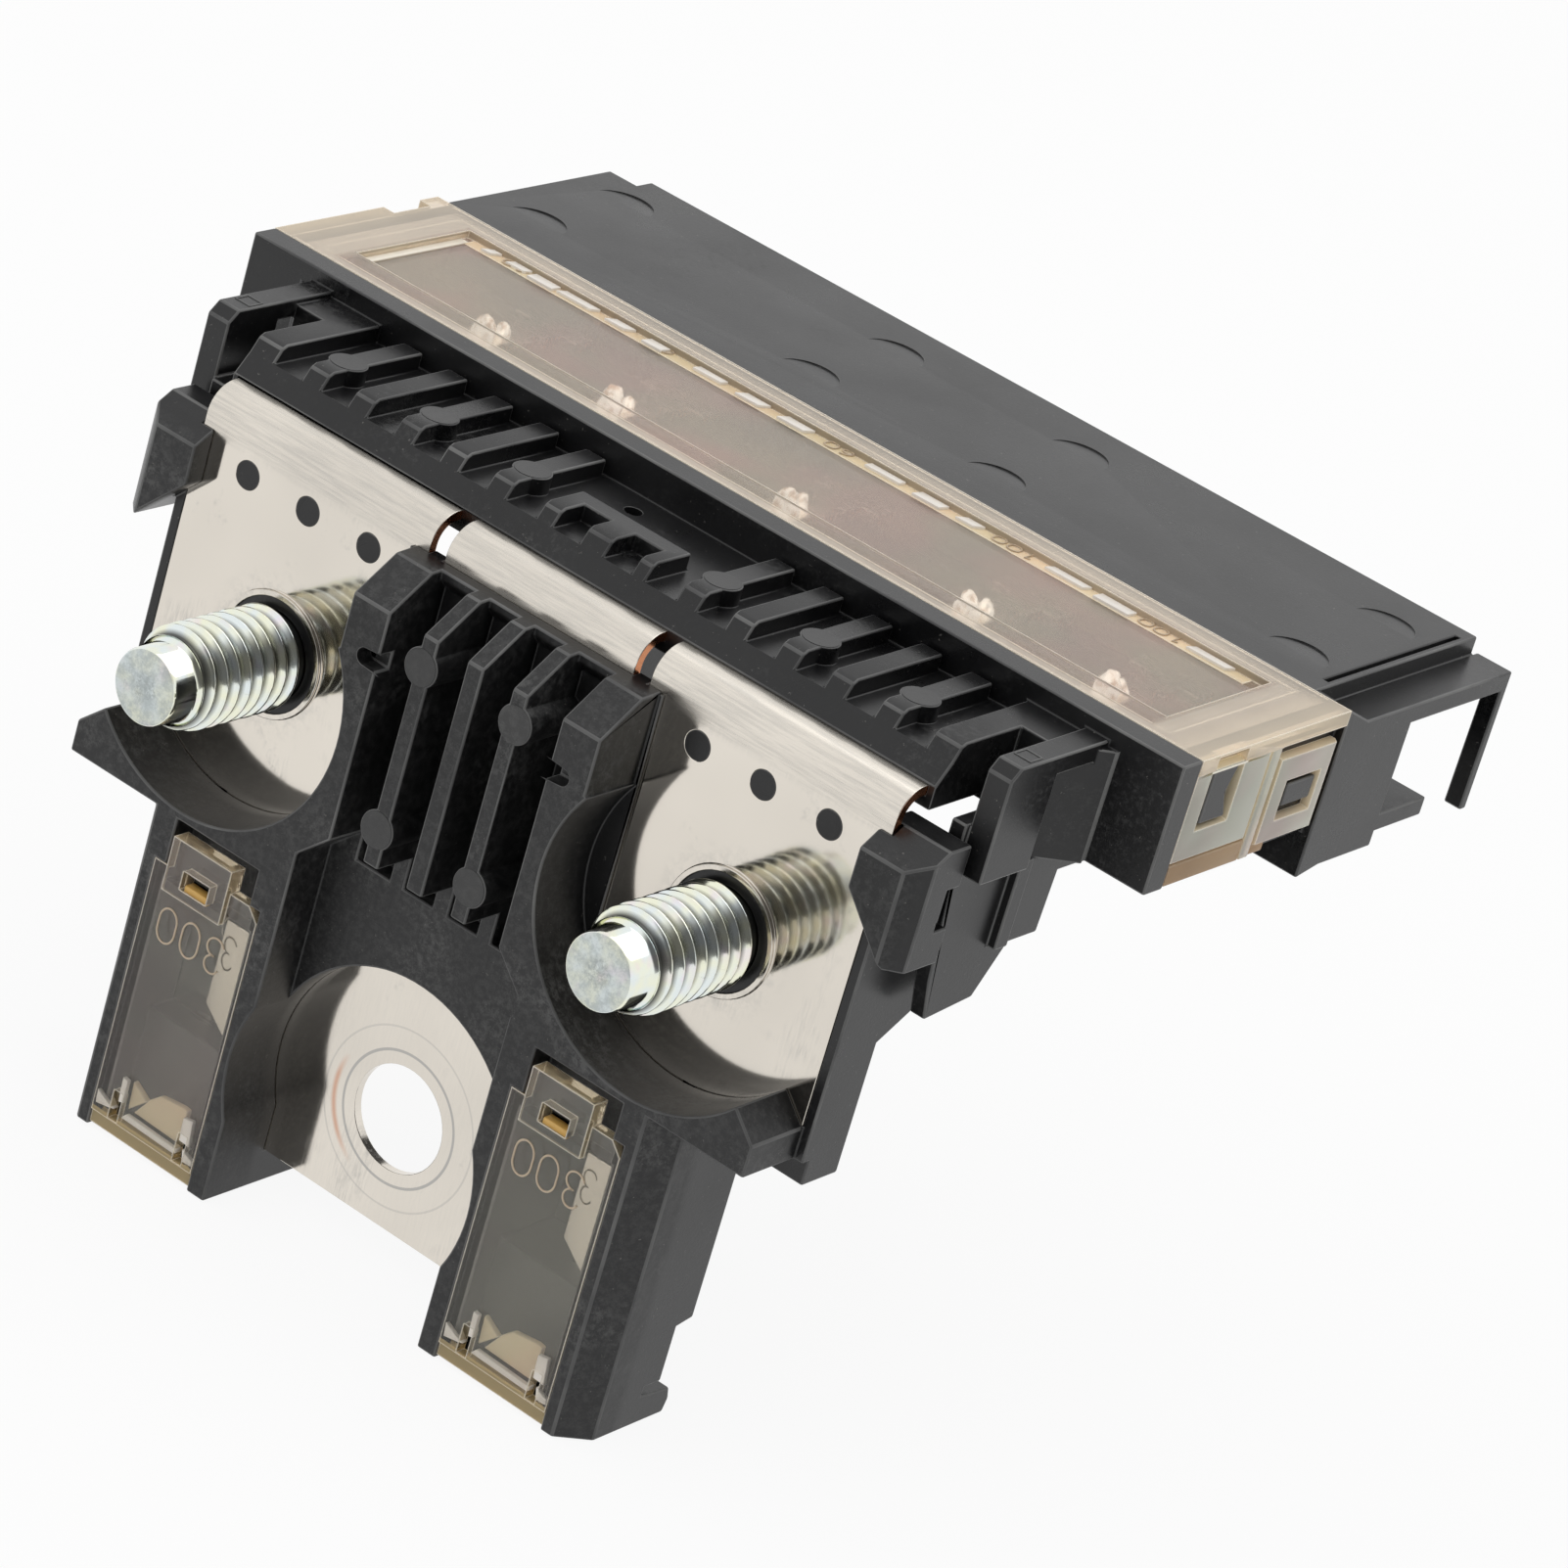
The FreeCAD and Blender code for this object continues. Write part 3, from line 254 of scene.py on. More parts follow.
@dataclass(frozen=True)
class Nylon(Finish):
    """Glass-filled black nylon with fine grain, rub marks and a little dust."""

    name: str
    dark: Colour
    pale: Colour
    roughness: float
    grain: float
    scuff: float
    dust: float
    powder: float = 0.75
    worn_y: float = -0.5
    worn_colour: Colour = (0.095, 0.095, 0.093)
    dust_colour: Colour = (0.26, 0.25, 0.23)

    def surface(self, graph: Graph) -> Socket:
        """Dark base with uneven gloss, rubbed and powdery patches and specks.

        Args:
            graph: Graph of the material.

        Returns:
            The shader socket.
        """
        where = graph.place()
        cloud = graph.noise(where, 0.09, 4.0)
        elsewhere = graph.vector("ADD", where, (31.0, 5.0, 12.0))
        zone = graph.span(graph.noise(elsewhere, 0.12, 3.0, 0.6), 0.50, 0.64)
        mottle = graph.span(graph.noise(where, 1.7, 5.0, 0.8), 0.50, 0.66)
        rubbed = graph.times(mottle, graph.span(zone, 0.0, 1.0, 0.10, 1.0))
        speck = graph.span(graph.noise(where, 2.6, 2.0, 0.9), 0.70, 0.73, 0.0, self.dust)
        front = graph.span(graph.split(where)[1], self.worn_y - 1.0, self.worn_y, 1.0, 0.0)
        powder = graph.span(graph.noise(where, 1.5, 6.0, 0.85), 0.45, 0.60)
        powder = graph.times(powder, graph.span(zone, 0.0, 1.0, 0.35, 1.0))
        powder = graph.times(powder, graph.times(front, self.powder))
        wear = graph.most(graph.times(rubbed, self.scuff), powder)
        colour = graph.blend(graph.span(cloud, 0.35, 0.65), self.dark, self.pale)
        colour = graph.blend(wear, colour, self.worn_colour)
        colour = graph.blend(speck, colour, self.dust_colour)
        gloss = graph.plus(graph.span(cloud, 0.3, 0.7, -0.06, 0.06), self.roughness)
        gloss = graph.changed(gloss, (graph.most(rubbed, powder), 0.16), (front, 0.14))
        normal = graph.bump(self.grain, 0.03, graph.noise(where, 4.0, 4.0, 0.75))
        return graph.principled({"Base Color": colour, "Roughness": gloss, "Normal": normal, "IOR": 1.48})


@dataclass(frozen=True)
class Tin(Finish):
    """Tin plate with brushed patches, a burnished eyelet and copper cut edges."""

    name: str
    bright: Colour
    grey: Colour = (0.36, 0.36, 0.35)
    copper: Colour = (0.55, 0.22, 0.10)
    burnished: float = 5.2
    outer_ring: float = 7.0
    copper_arc: float = 6.1

    def surface(self, graph: Graph) -> Socket:
        """Mirror-like plate, rougher and greyer in scratched patches.

        Args:
            graph: Graph of the material.

        Returns:
            The shader socket.
        """
        where = graph.place()
        axes = graph.split(where)
        radius = graph.reach(where)

        upright = graph.noise(graph.vector("MULTIPLY", where, (3.0, 0.5, 0.30)), 1.6, 4.0, 0.7)
        across = graph.noise(graph.vector("MULTIPLY", where, (0.12, 2.4, 2.4)), 1.6, 4.0, 0.7)
        bend = graph.span(axes[2], 40.0, 40.8)
        streaks = graph.plus(graph.times(upright, graph.minus(1.0, bend)), graph.times(across, bend))
        patches = graph.span(graph.noise(where, 0.12, 3.0, 0.6), 0.56, 0.70, 0.0, 0.6)
        patches = graph.most(patches, graph.times(bend, 0.42))
        patches = graph.most(patches, graph.span(axes[2], 15.5, 22.0, 0.08, 0.0))
        brushed = graph.times(patches, graph.span(streaks, 0.42, 0.62))
        mottle = graph.span(graph.noise(where, 0.9, 6.0, 0.75), 0.46, 0.60)
        scuffed = graph.times(mottle, graph.span(graph.reach(where, STUD_AXIS), 4.4, 6.6, 0.45, 0.0))
        edge_wear = graph.span(graph.noise(where, 0.22, 4.0, 0.7), 0.60, 0.70, 0.0, 0.5)
        scuffed = graph.most(scuffed, graph.times(edge_wear, mottle))
        ring = graph.math("COMPARE", radius, self.burnished, 0.11)
        ring = graph.most(ring, graph.times(graph.math("COMPARE", radius, self.outer_ring, 0.08), 0.4))
        polish = graph.math("LESS_THAN", radius, self.burnished)

        cloud = graph.span(graph.noise(where, 0.06, 2.0), 0.35, 0.65)
        colour = graph.blend(cloud, tinted(self.bright, (0.90,) * 3), self.bright)
        for share, amount in ((brushed, 0.7), (scuffed, 0.6), (ring, 0.75)):
            colour = graph.blend(graph.times(share, amount), colour, self.grey)
        near_arc = graph.span(graph.size(graph.minus(radius, self.copper_arc)), 0.05, 0.34, 0.6, 0.0)
        left = graph.span(axes[0], -5.0, -3.0, 1.0, 0.0)
        quarter = graph.times(left, graph.span(axes[2], 0.5, 2.5, 1.0, 0.0))
        normal = graph.add("ShaderNodeNewGeometry").outputs["Normal"]
        cut_edge = graph.span(graph.size(graph.split(normal)[0]), 0.80, 0.95)
        cut_edge = graph.times(cut_edge, graph.math("GREATER_THAN", axes[2], 38.0))
        for share in (graph.times(near_arc, quarter), cut_edge):
            colour = graph.blend(share, colour, self.copper)

        rough = graph.changed(0.085, (brushed, 0.20), (scuffed, 0.22), (bend, 0.13), (polish, -0.02))
        scratch = graph.changed(graph.times(brushed, streaks), (ring, -0.6))
        return graph.principled({"Base Color": colour, "Metallic": 1.0, "Roughness": rough,
                                 "Normal": graph.bump(0.09, 0.02, scratch)})


@dataclass(frozen=True)
class Zinc(Finish):
    """Bright zinc plate with faint yellow-green and violet tints."""

    name: str
    cool: Colour
    warm: Colour
    face_y: float
    thread_y: float
    violet: Colour = (0.84, 0.72, 0.80)
    # dark colour of the real stain on the tip face, and of the painted shade in the thread roots
    grime_and_shade: Colour = (0.05, 0.05, 0.045)
    frost: Colour = (0.38, 0.42, 0.42)

    def surface(self, graph: Graph) -> Socket:
        """Glossy plate, matt with a rough centre on the tip face, with painted shade in the thread roots.

        Args:
            graph: Graph of the material.

        Returns:
            The shader socket.
        """
        where = graph.place()
        axes = graph.split(where)
        radius = graph.reach(where, STUD_AXIS)
        tint = graph.span(graph.noise(where, 0.45, 2.0), 0.38, 0.62)
        elsewhere = graph.vector("ADD", where, (7.0, 3.0, 1.0))
        flush = graph.span(graph.noise(elsewhere, 0.5, 2.0), 0.56, 0.70, 0.0, 0.5)
        face = graph.math("LESS_THAN", axes[1], self.face_y)
        threaded = graph.math("GREATER_THAN", axes[1], self.thread_y)
        # painted shade: the thread roots are darkened, and made rougher, to stand in for the shade between
        # the crests
        shaded_root = graph.times(graph.span(radius, 3.30, 3.66, 0.93, 0.0), threaded)
        lump = graph.noise(where, 3.2, 4.0, 0.75)
        spot = graph.times(face, graph.span(graph.plus(radius, lump), 1.3, 1.8, 1.0, 0.0))
        stain = graph.times(spot, graph.span(lump, 0.4, 0.6, 0.5, 0.0))
        matt = graph.times(face, graph.span(graph.noise(where, 1.3, 5.0, 0.8), 0.42, 0.60, 0.35, 0.75))
        colour = graph.blend(tint, self.cool, self.warm)
        layers = ((flush, self.violet), (shaded_root, self.grime_and_shade), (stain, self.grime_and_shade), (matt, self.frost))
        for share, layer in layers:
            colour = graph.blend(share, colour, layer)
        rough = graph.changed(0.11, (face, 0.30), (shaded_root, 0.25))
        height = graph.times(lump, graph.changed(0.2, (spot, 9.0)))
        return graph.principled({"Base Color": colour, "Metallic": 1.0, "Roughness": rough,
                                 "Normal": graph.bump(0.22, 0.03, height)})


@dataclass(frozen=True)
class SoftTin(Finish):
    """Soft bright tin of the crimped pellets, with a painted glow and painted shade in its hollows."""

    name: str
    colour: Colour
    # painted shade: brown where the lumps are low
    hollow: Colour = (0.42, 0.26, 0.16)
    # painted light: the pellets glow though they are no lamp
    glow: float = 0.65

    def surface(self, graph: Graph) -> Socket:
        """Lumpy bright metal, brown in its hollows as painted shade, glowing as painted light.

        Args:
            graph: Graph of the material.

        Returns:
            The shader socket.
        """
        lump = graph.noise(graph.place(), 1.4, 3.0, 0.6)
        colour = graph.blend(graph.span(lump, 0.35, 0.52), self.hollow, self.colour)
        # emission of the metal's own colour is painted light
        return graph.principled({
            "Base Color": colour, "Metallic": 0.6, "Roughness": 0.20, "Normal": graph.bump(0.6, 0.15, lump),
            "Emission Color": colour, "Emission Strength": self.glow})


@dataclass(frozen=True)
class Clear(Finish):
    """Amber-tinted clear plastic with a milky veil."""

    name: str
    tint: Colour
    veil: Colour
    haze: float
    edge: Colour
    lip_z: float = -60.0
    broad_axis: int = 1
    border: Colour | None = None
    # colour of the painted highlight on the edges
    rim: Colour = (1.0, 0.94, 0.82)
    round_over: float = 0.20
    window: tuple[float, float, float] = (38.4, 18.8, 33.9)

    def surface(self, graph: Graph) -> Socket:
        """Refracting body, milky veil, amber narrow faces, painted highlights on the rounded edges and light
        shadows.

        Args:
            graph: Graph of the material.

        Returns:
            The shader socket.
        """
        where = graph.place()
        axes = graph.split(where)
        normal = graph.add("ShaderNodeNewGeometry").outputs["Normal"]
        facing = graph.split(graph.vector("ABSOLUTE", normal))[self.broad_axis]
        side = graph.span(facing, 0.45, 0.95, 1.0, 0.0)
        amber = graph.most(graph.times(side, 0.6), graph.math("LESS_THAN", axes[2], self.lip_z))
        rounded = graph.add("ShaderNodeBevel", {"Radius": self.round_over * MM}, samples=6).outputs[0]
        # painted highlight: paler and milkier where the rounded normal turns away from the true one
        rim = graph.span(graph.vector("DOT_PRODUCT", rounded, normal, out=1), 0.90, 0.995, 0.8, 0.0)
        fine = graph.noise(where, 0.5, 3.0, 0.6)
        glass = graph.principled({
            "Base Color": graph.blend(amber, self.tint, self.edge), "IOR": 1.46, "Transmission Weight": 1.0,
            "Roughness": graph.span(fine, 0.3, 0.7, 0.03, 0.08),
            "Normal": graph.bump(0.015, 0.02, fine, Normal=rounded)})

        warmth = graph.noise(graph.vector("ADD", where, (40.0, 0.0, 9.0)), 0.09, 2.0)
        green = tinted(self.veil, (0.94, 0.99, 0.94))
        pink = tinted(self.veil, (1.05, 0.95, 0.96))
        veil = graph.blend(graph.span(warmth, 0.42, 0.58), green, pink)
        amount = graph.span(graph.noise(where, 0.07, 2.0), 0.35, 0.65, self.haze * 0.75, self.haze * 1.25)
        if self.border:
            outside = self.outside(graph, axes)
            veil = graph.blend(outside, veil, self.border)
            amount = graph.changed(amount, (outside, 0.17))
            amber = graph.most(amber, graph.times(graph.span(graph.size(axes[0]), 40.5, 43.5), 0.40))
        veil = graph.blend(rim, graph.blend(amber, veil, self.edge), self.rim)
        milk = graph.add("ShaderNodeBsdfDiffuse", {"Color": veil}).outputs[0]
        amount = graph.plus(amount, graph.most(graph.times(amber, 0.34), rim))
        through = graph.add("ShaderNodeBsdfTransparent", {"Color": (0.95, 0.92, 0.87, 1.0)}).outputs[0]
        shadow = graph.add("ShaderNodeLightPath").outputs["Is Shadow Ray"]
        return graph.layered(shadow, graph.layered(amount, glass, milk), through)

    def outside(self, graph: Graph, axes: bpy.types.NodeOutputs) -> Socket:
        """Share of the thick border round the window, between 0 and 1.

        Args:
            graph: Graph of the material.
            axes: X, Y and Z in millimetres.

        Returns:
            The share.
        """
        half, low, high = self.window
        ends = graph.span(graph.size(axes[0]), half - 0.1, half + 0.5)
        front = graph.span(axes[1], low - 0.4, low + 0.1, 1.0, 0.0)
        back = graph.span(axes[1], high - 0.1, high + 0.4)
        return graph.most(ends, graph.most(front, back))


@dataclass(frozen=True)
class Milk(Finish):
    """Pale, slightly glossy plastic, for marks and numbers and for painted highlights and painted light."""

    name: str
    colour: Colour
    roughness: float

    def surface(self, graph: Graph) -> Socket:
        """Even pale plastic with slight clouding."""
        cloud = graph.noise(graph.place(), 0.8, 3.0)
        return graph.principled({
            "Base Color": graph.blend(cloud, tinted(self.colour, (0.86,) * 3), self.colour),
            "Roughness": self.roughness})


@dataclass(frozen=True)
class Finishes:
    """Every material of the part."""

    nylon: Material
    nylon_wear_and_highlight: Material
    satin: Material
    tin: Material
    zinc: Material
    pellet: Material
    lid: Material
    loops: Material
    foot: Material
    link: Material
    cover: Material
    amber: Material
    mark: Material
    line: Material
    numeral: Material

    @classmethod
    def build(cls) -> "Finishes":
        """Make all materials and return the set."""
        recipes = {
            "nylon": Nylon("black_nylon", (0.0045, 0.0045, 0.005), (0.009, 0.009, 0.0095),
                           roughness=0.30, grain=0.40, scuff=0.34, dust=0.4),
            # paler finish of the rounded outer edges and the arm marks: partly wear, partly painted highlight
            "nylon_wear_and_highlight": Nylon("black_nylon_wear_and_highlight", (0.045, 0.045, 0.046), (0.150, 0.150, 0.147),
                                roughness=0.42, grain=0.45, scuff=0.2, dust=0.3, powder=0.2),
            "satin": Nylon("black_nylon_satin", (0.034, 0.034, 0.034), (0.046, 0.046, 0.046),
                           roughness=0.42, grain=0.40, scuff=0.3, dust=0.2),
            "tin": Tin("tin_plate", (0.76, 0.71, 0.635)),
            "zinc": Zinc("zinc_plate", (0.78, 0.84, 0.84), (0.86, 0.87, 0.70), face_y=-13.4, thread_y=-10.8),
            "pellet": SoftTin("soft_tin_painted_glow", (1.0, 0.97, 0.91)),
            "lid": Clear("clear_lid", (0.96, 0.91, 0.85), (0.62, 0.50, 0.41), 0.24, (0.98, 0.82, 0.58),
                         broad_axis=2, border=(0.88, 0.77, 0.64)),
            "loops": Clear("clear_loops", (0.97, 0.93, 0.85), (1.0, 0.95, 0.85), 0.44, (0.98, 0.76, 0.42),
                           broad_axis=0),
            # darker amber copy of the clear plastic for the lid's foot: painted shade
            "foot": Clear("amber_foot_painted_shade", (0.75, 0.55, 0.36), (0.40, 0.27, 0.17), 0.55, (0.60, 0.42, 0.26)),
            # darker copy of the tin for the link strip behind a cover: painted shade
            "link": Tin("tin_link_painted_shade", (0.60, 0.55, 0.47)),
            "cover": Clear("clear_cover", (0.97, 0.95, 0.91), (0.46, 0.42, 0.36), 0.10, (0.84, 0.66, 0.36),
                           lip_z=-9.7),
            "amber": Milk("amber_bar", (0.72, 0.44, 0.12), 0.30),
            # pale finish of the clip faces, and of the slot cells, which are painted light
            "mark": Milk("pale_mark_and_slot_light", (0.93, 0.88, 0.81), 0.30),
            # painted highlight: pale strips along the lid's edges
            "line": Milk("painted_highlight_line", (1.0, 0.93, 0.80), 0.25),
            "numeral": Milk("tan_numeral", (0.60, 0.48, 0.35), 0.35),
        }
        return cls(**{key: recipe.build() for key, recipe in recipes.items()})


def dress(piece: Piece, materials: Sequence[Material], stands_for: Sequence[str] = ()) -> None:
    """Give a piece its materials and its body.

    Args:
        piece: Object to finish.
        materials: Materials in the order of the mesh's indices.
        stands_for: CAD nodes that the piece replaces.
    """
    slots = piece.data.materials
    while len(slots) > len(materials):
        slots.pop()
    while len(slots) < len(materials):
        slots.append(None)
    for index, material in enumerate(materials):
        slots[index] = material
    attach(piece, ROOT)
    if stands_for:
        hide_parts(*stands_for)


def new_piece(name: str, mesh: bpy.types.Mesh) -> Piece:
    """Object at the origin that shows a mesh.

    Args:
        name: Name of the object and its mesh.
        mesh: Mesh in metres.

    Returns:
        The linked object.
    """
    mesh.name = name
    piece = bpy.data.objects.new(name, mesh)
    bpy.context.scene.collection.objects.link(piece)
    return piece


def meshed(name: str, shape: bmesh.types.BMesh, sharp: float = 0.0) -> Piece:
    """Smooth piece made from a finished shape, which is freed.

    Args:
        name: Name of the piece.
        shape: Shape in metres.
        sharp: Angle in degrees above which edges stay sharp, or 0 for none.

    Returns:
        The new piece.
    """
    mesh = bpy.data.meshes.new(name)
    shape.to_mesh(mesh)
    shape.free()
    for polygon in mesh.polygons:
        polygon.use_smooth = True
    if sharp:
        mesh.set_sharp_from_angle(angle=math.radians(sharp))
    return new_piece(name, mesh)


def settled(piece: Piece) -> Piece:
    """Apply every modifier of a piece to its mesh.

    Args:
        piece: Object with modifiers.

    Returns:
        The same object with a plain mesh.
    """
    bpy.context.view_layer.update()
    evaluated = piece.evaluated_get(bpy.context.evaluated_depsgraph_get())
    mesh = bpy.data.meshes.new_from_object(evaluated)
    piece.modifiers.clear()
    piece.data = mesh
    mesh.name = piece.name
    return piece


@dataclass(frozen=True)
class Softening:
    """Rounding of the sharp edges of a moulded or stamped piece."""

    width: float
    segments: int = 2
    angle: float = 28.0
    flat_angle: float = 0.4
    seam: float = 0.002
    room_share: float = 0.42

    def apply(self, node: str, name: str) -> Piece:
        """Rounded copy of a CAD node, whose rounded faces take the second material.

        Args:
            node: CAD node to copy.
            name: Name of the new piece.

        Returns:
            The new piece.
        """
        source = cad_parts[node].data
        copy = bpy.data.meshes.new(name)
        copy.from_pydata([tuple(v.co) for v in source.vertices], [],
                         [tuple(p.vertices) for p in source.polygons])
        shape = bmesh.new()
        shape.from_mesh(copy)
        bpy.data.meshes.remove(copy)
        bmesh.ops.remove_doubles(shape, verts=shape.verts, dist=self.seam * MM)
        bmesh.ops.dissolve_degenerate(shape, dist=self.seam * MM, edges=shape.edges)
        if self.width > 0.0:
            bmesh.ops.dissolve_limit(shape, angle_limit=math.radians(self.flat_angle), verts=shape.verts,
                                     edges=shape.edges)
            self.weigh_edges(shape)
        bmesh.ops.recalc_face_normals(shape, faces=shape.faces)
        piece = meshed(name, shape, self.angle)
        if self.width <= 0.0:
            return piece
        for _ in range(2):
            piece.data.materials.append(None)
        bevel = piece.modifiers.new("rounding", "BEVEL")
        bevel.width = self.width * MM
        bevel.segments = self.segments
        bevel.limit_method = "WEIGHT"
        bevel.use_clamp_overlap = False
        bevel.loop_slide = False
        bevel.harden_normals = True
        # rounded faces take the second material; on the mouldings that is the paler edge finish, partly wear
        # and partly painted highlight
        bevel.material = 1
        return self.plain_hollows(settled(piece))

    @staticmethod
    def plain_hollows(piece: Piece) -> Piece:
        """Give the rounded faces of inner corners the first material again.

        Args:
            piece: Rounded piece.

        Returns:
            The same piece.
        """
        shape = bmesh.new()
        shape.from_mesh(piece.data)
        hollow = {face.index for face in shape.faces
                  if sum(edge.calc_face_angle_signed(0.0) for edge in face.edges) < 0.0}
        shape.free()
        for polygon in piece.data.polygons:
            if polygon.index in hollow:
                polygon.material_index = 0
        return piece

    def weigh_edges(self, shape: bmesh.types.BMesh) -> None:
        """Give each sharp edge the rounding that its narrower face has room for.

        Args:
            shape: Mesh in metres.
        """
        layer = shape.edges.layers.float.new("bevel_weight_edge")
        room = {face: 2.0 * face.calc_area() / face.calc_perimeter() for face in shape.faces}
        limit = math.radians(self.angle)
        for edge in shape.edges:
            if len(edge.link_faces) == 2 and edge.calc_face_angle(0.0) > limit:
                space = min(room[face] for face in edge.link_faces)
                edge[layer] = min(1.0, self.room_share * space / (self.width * MM))


def solid_blocks(name: str, blocks: Iterable[tuple[Point, Point]], rounding: float) -> Piece:
    """Several rounded blocks in one piece.

    Args:
        name: Name of the piece.
        blocks: Low and high corners in millimetres.
        rounding: Width of the rounded edges in millimetres.

    Returns:
        The new piece.
    """
    shape = bmesh.new()
    for low, high in blocks:
        made = bmesh.ops.create_cube(shape, size=1.0)["verts"]
        size = [b - a for a, b in zip(low, high)]
        centre = [(a + b) / 2 for a, b in zip(low, high)]
        bmesh.ops.scale(shape, vec=[part * MM for part in size], verts=made)
        bmesh.ops.translate(shape, vec=[part * MM for part in centre], verts=made)
    bmesh.ops.bevel(shape, geom=shape.edges[:], offset=rounding * MM, segments=2, affect="EDGES", profile=0.5)
    return meshed(name, shape)


def prisms(name: str, outlines: Iterable[Sequence[Flat]], front: float, back: float, rounding: float,
           lying: bool = False) -> Piece:
    """Flat rounded pieces cut to an outline in X and Z, or in X and Y when they lie.

    Args:
        name: Name of the piece.
        outlines: Corners in millimetres, one list for each flat piece.
        front: Y of the front face, or Z of the lower one.
        back: Y of the back face, or Z of the upper one.
        rounding: Width of the rounded edges in millimetres.
        lying: Whether the outline is in X and Y.

    Returns:
        The new piece.
    """
    shape = bmesh.new()
    for outline in outlines:
        ends = [[shape.verts.new(Vector((a, b, level) if lying else (a, level, b)) * MM) for a, b in outline]
                for level in (front, back)]
        for ring in ends:
            shape.faces.new(ring)
        for index in range(len(outline)):
            after = (index + 1) % len(outline)
            shape.faces.new((ends[0][index], ends[0][after], ends[1][after], ends[1][index]))
    bmesh.ops.recalc_face_normals(shape, faces=shape.faces)
    bmesh.ops.bevel(shape, geom=shape.edges[:], offset=rounding * MM, segments=2, affect="EDGES", profile=0.5)
    return meshed(name, shape)


def window_frame(name: str, outer: Sequence[float], inner: Sequence[float], depth: Flat,
                 chamfer: float) -> Piece:
    """Flat frame round an eye in the YZ plane, bevelled on its outer face.

    Args:
        name: Name of the piece.
        outer: Low Y, high Y, low Z and high Z of the frame.
        inner: The same four values of the eye.
        depth: X of the inner and of the outer face.
        chamfer: Width of the bevel in millimetres.

    Returns:
        The new piece.
    """
    shape = bmesh.new()
    rings = []
    for x in depth:
        for y0, y1, z0, z1 in (outer, inner):
            corners = ((y0, z0), (y1, z0), (y1, z1), (y0, z1))
            rings.append([shape.verts.new((x * MM, y * MM, z * MM)) for y, z in corners])
    for one, two in ((0, 1), (2, 3), (0, 2), (1, 3)):
        for index in range(4):
            after = (index + 1) % 4
            shape.faces.new((rings[one][index], rings[one][after], rings[two][after], rings[two][index]))
    bmesh.ops.recalc_face_normals(shape, faces=shape.faces)
    rims = {vert for ring in rings[2:] for vert in ring}
    edges = [edge for edge in shape.edges if set(edge.verts) <= rims and edge.calc_face_angle(0.0) > 0.5]
    bmesh.ops.bevel(shape, geom=edges, offset=chamfer * MM, segments=2, affect="EDGES", profile=0.6)
    return meshed(name, shape, 30.0)


class GeometryGroup:
    """Geometry Nodes group with named inputs, run once on a piece."""

    def __init__(self, name: str) -> None:
        """Start an empty group.

        Args:
            name: Name of the node group.
        """
        self.group = bpy.data.node_groups.new(name, "GeometryNodeTree")
        self.graph = Graph(self.group)
        self.group.interface.new_socket("Geometry", in_out="INPUT", socket_type="NodeSocketGeometry")
        self.group.interface.new_socket("Geometry", in_out="OUTPUT", socket_type="NodeSocketGeometry")
        self.keys: dict[str, str] = {}

    def start(self, *names: str) -> bpy.types.NodeOutputs:
        """Args:
            *names: Names of the inputs.

        Returns:
            The sockets of the group's input node.
        """
        for name in (*names, "Seed"):
            kind = "NodeSocketInt" if name == "Seed" else "NodeSocketFloat"
            socket = self.group.interface.new_socket(name, in_out="INPUT", socket_type=kind)
            self.keys[name] = socket.identifier
        return self.graph.add("NodeGroupInput").outputs

    def finish(self, geometry: Socket, material: Material) -> None:
        """Close the group with Realize Instances and Set Material.

        Args:
            geometry: Last geometry socket.
            material: Material of the result.
        """
        real = self.graph.add("GeometryNodeRealizeInstances", {0: geometry}).outputs[0]
        smooth = self.graph.add("GeometryNodeSetShadeSmooth", {0: real}).outputs[0]
        dressed = self.graph.add("GeometryNodeSetMaterial", {0: smooth, "Material": material}).outputs[0]
        self.graph.add("NodeGroupOutput", {0: dressed})

    def run(self, piece: Piece, **values: float) -> Piece:
        """Evaluate the group on a piece.

        Args:
            piece: Object whose mesh the group reads.
            **values: Value of each named input.

        Returns:
            The same piece with the new mesh.
        """
        modifier = piece.modifiers.new(self.group.name, "NODES")
        modifier.node_group = self.group
        for name, value in values.items():
            modifier[self.keys[name]] = value
        return settled(piece)


@dataclass(frozen=True)
class Assembly:
    """Sub-assembly that holds its sizes and knows the part's materials."""

    finishes: Finishes

    def build(self) -> None:
        """Make the pieces."""
        raise NotImplementedError


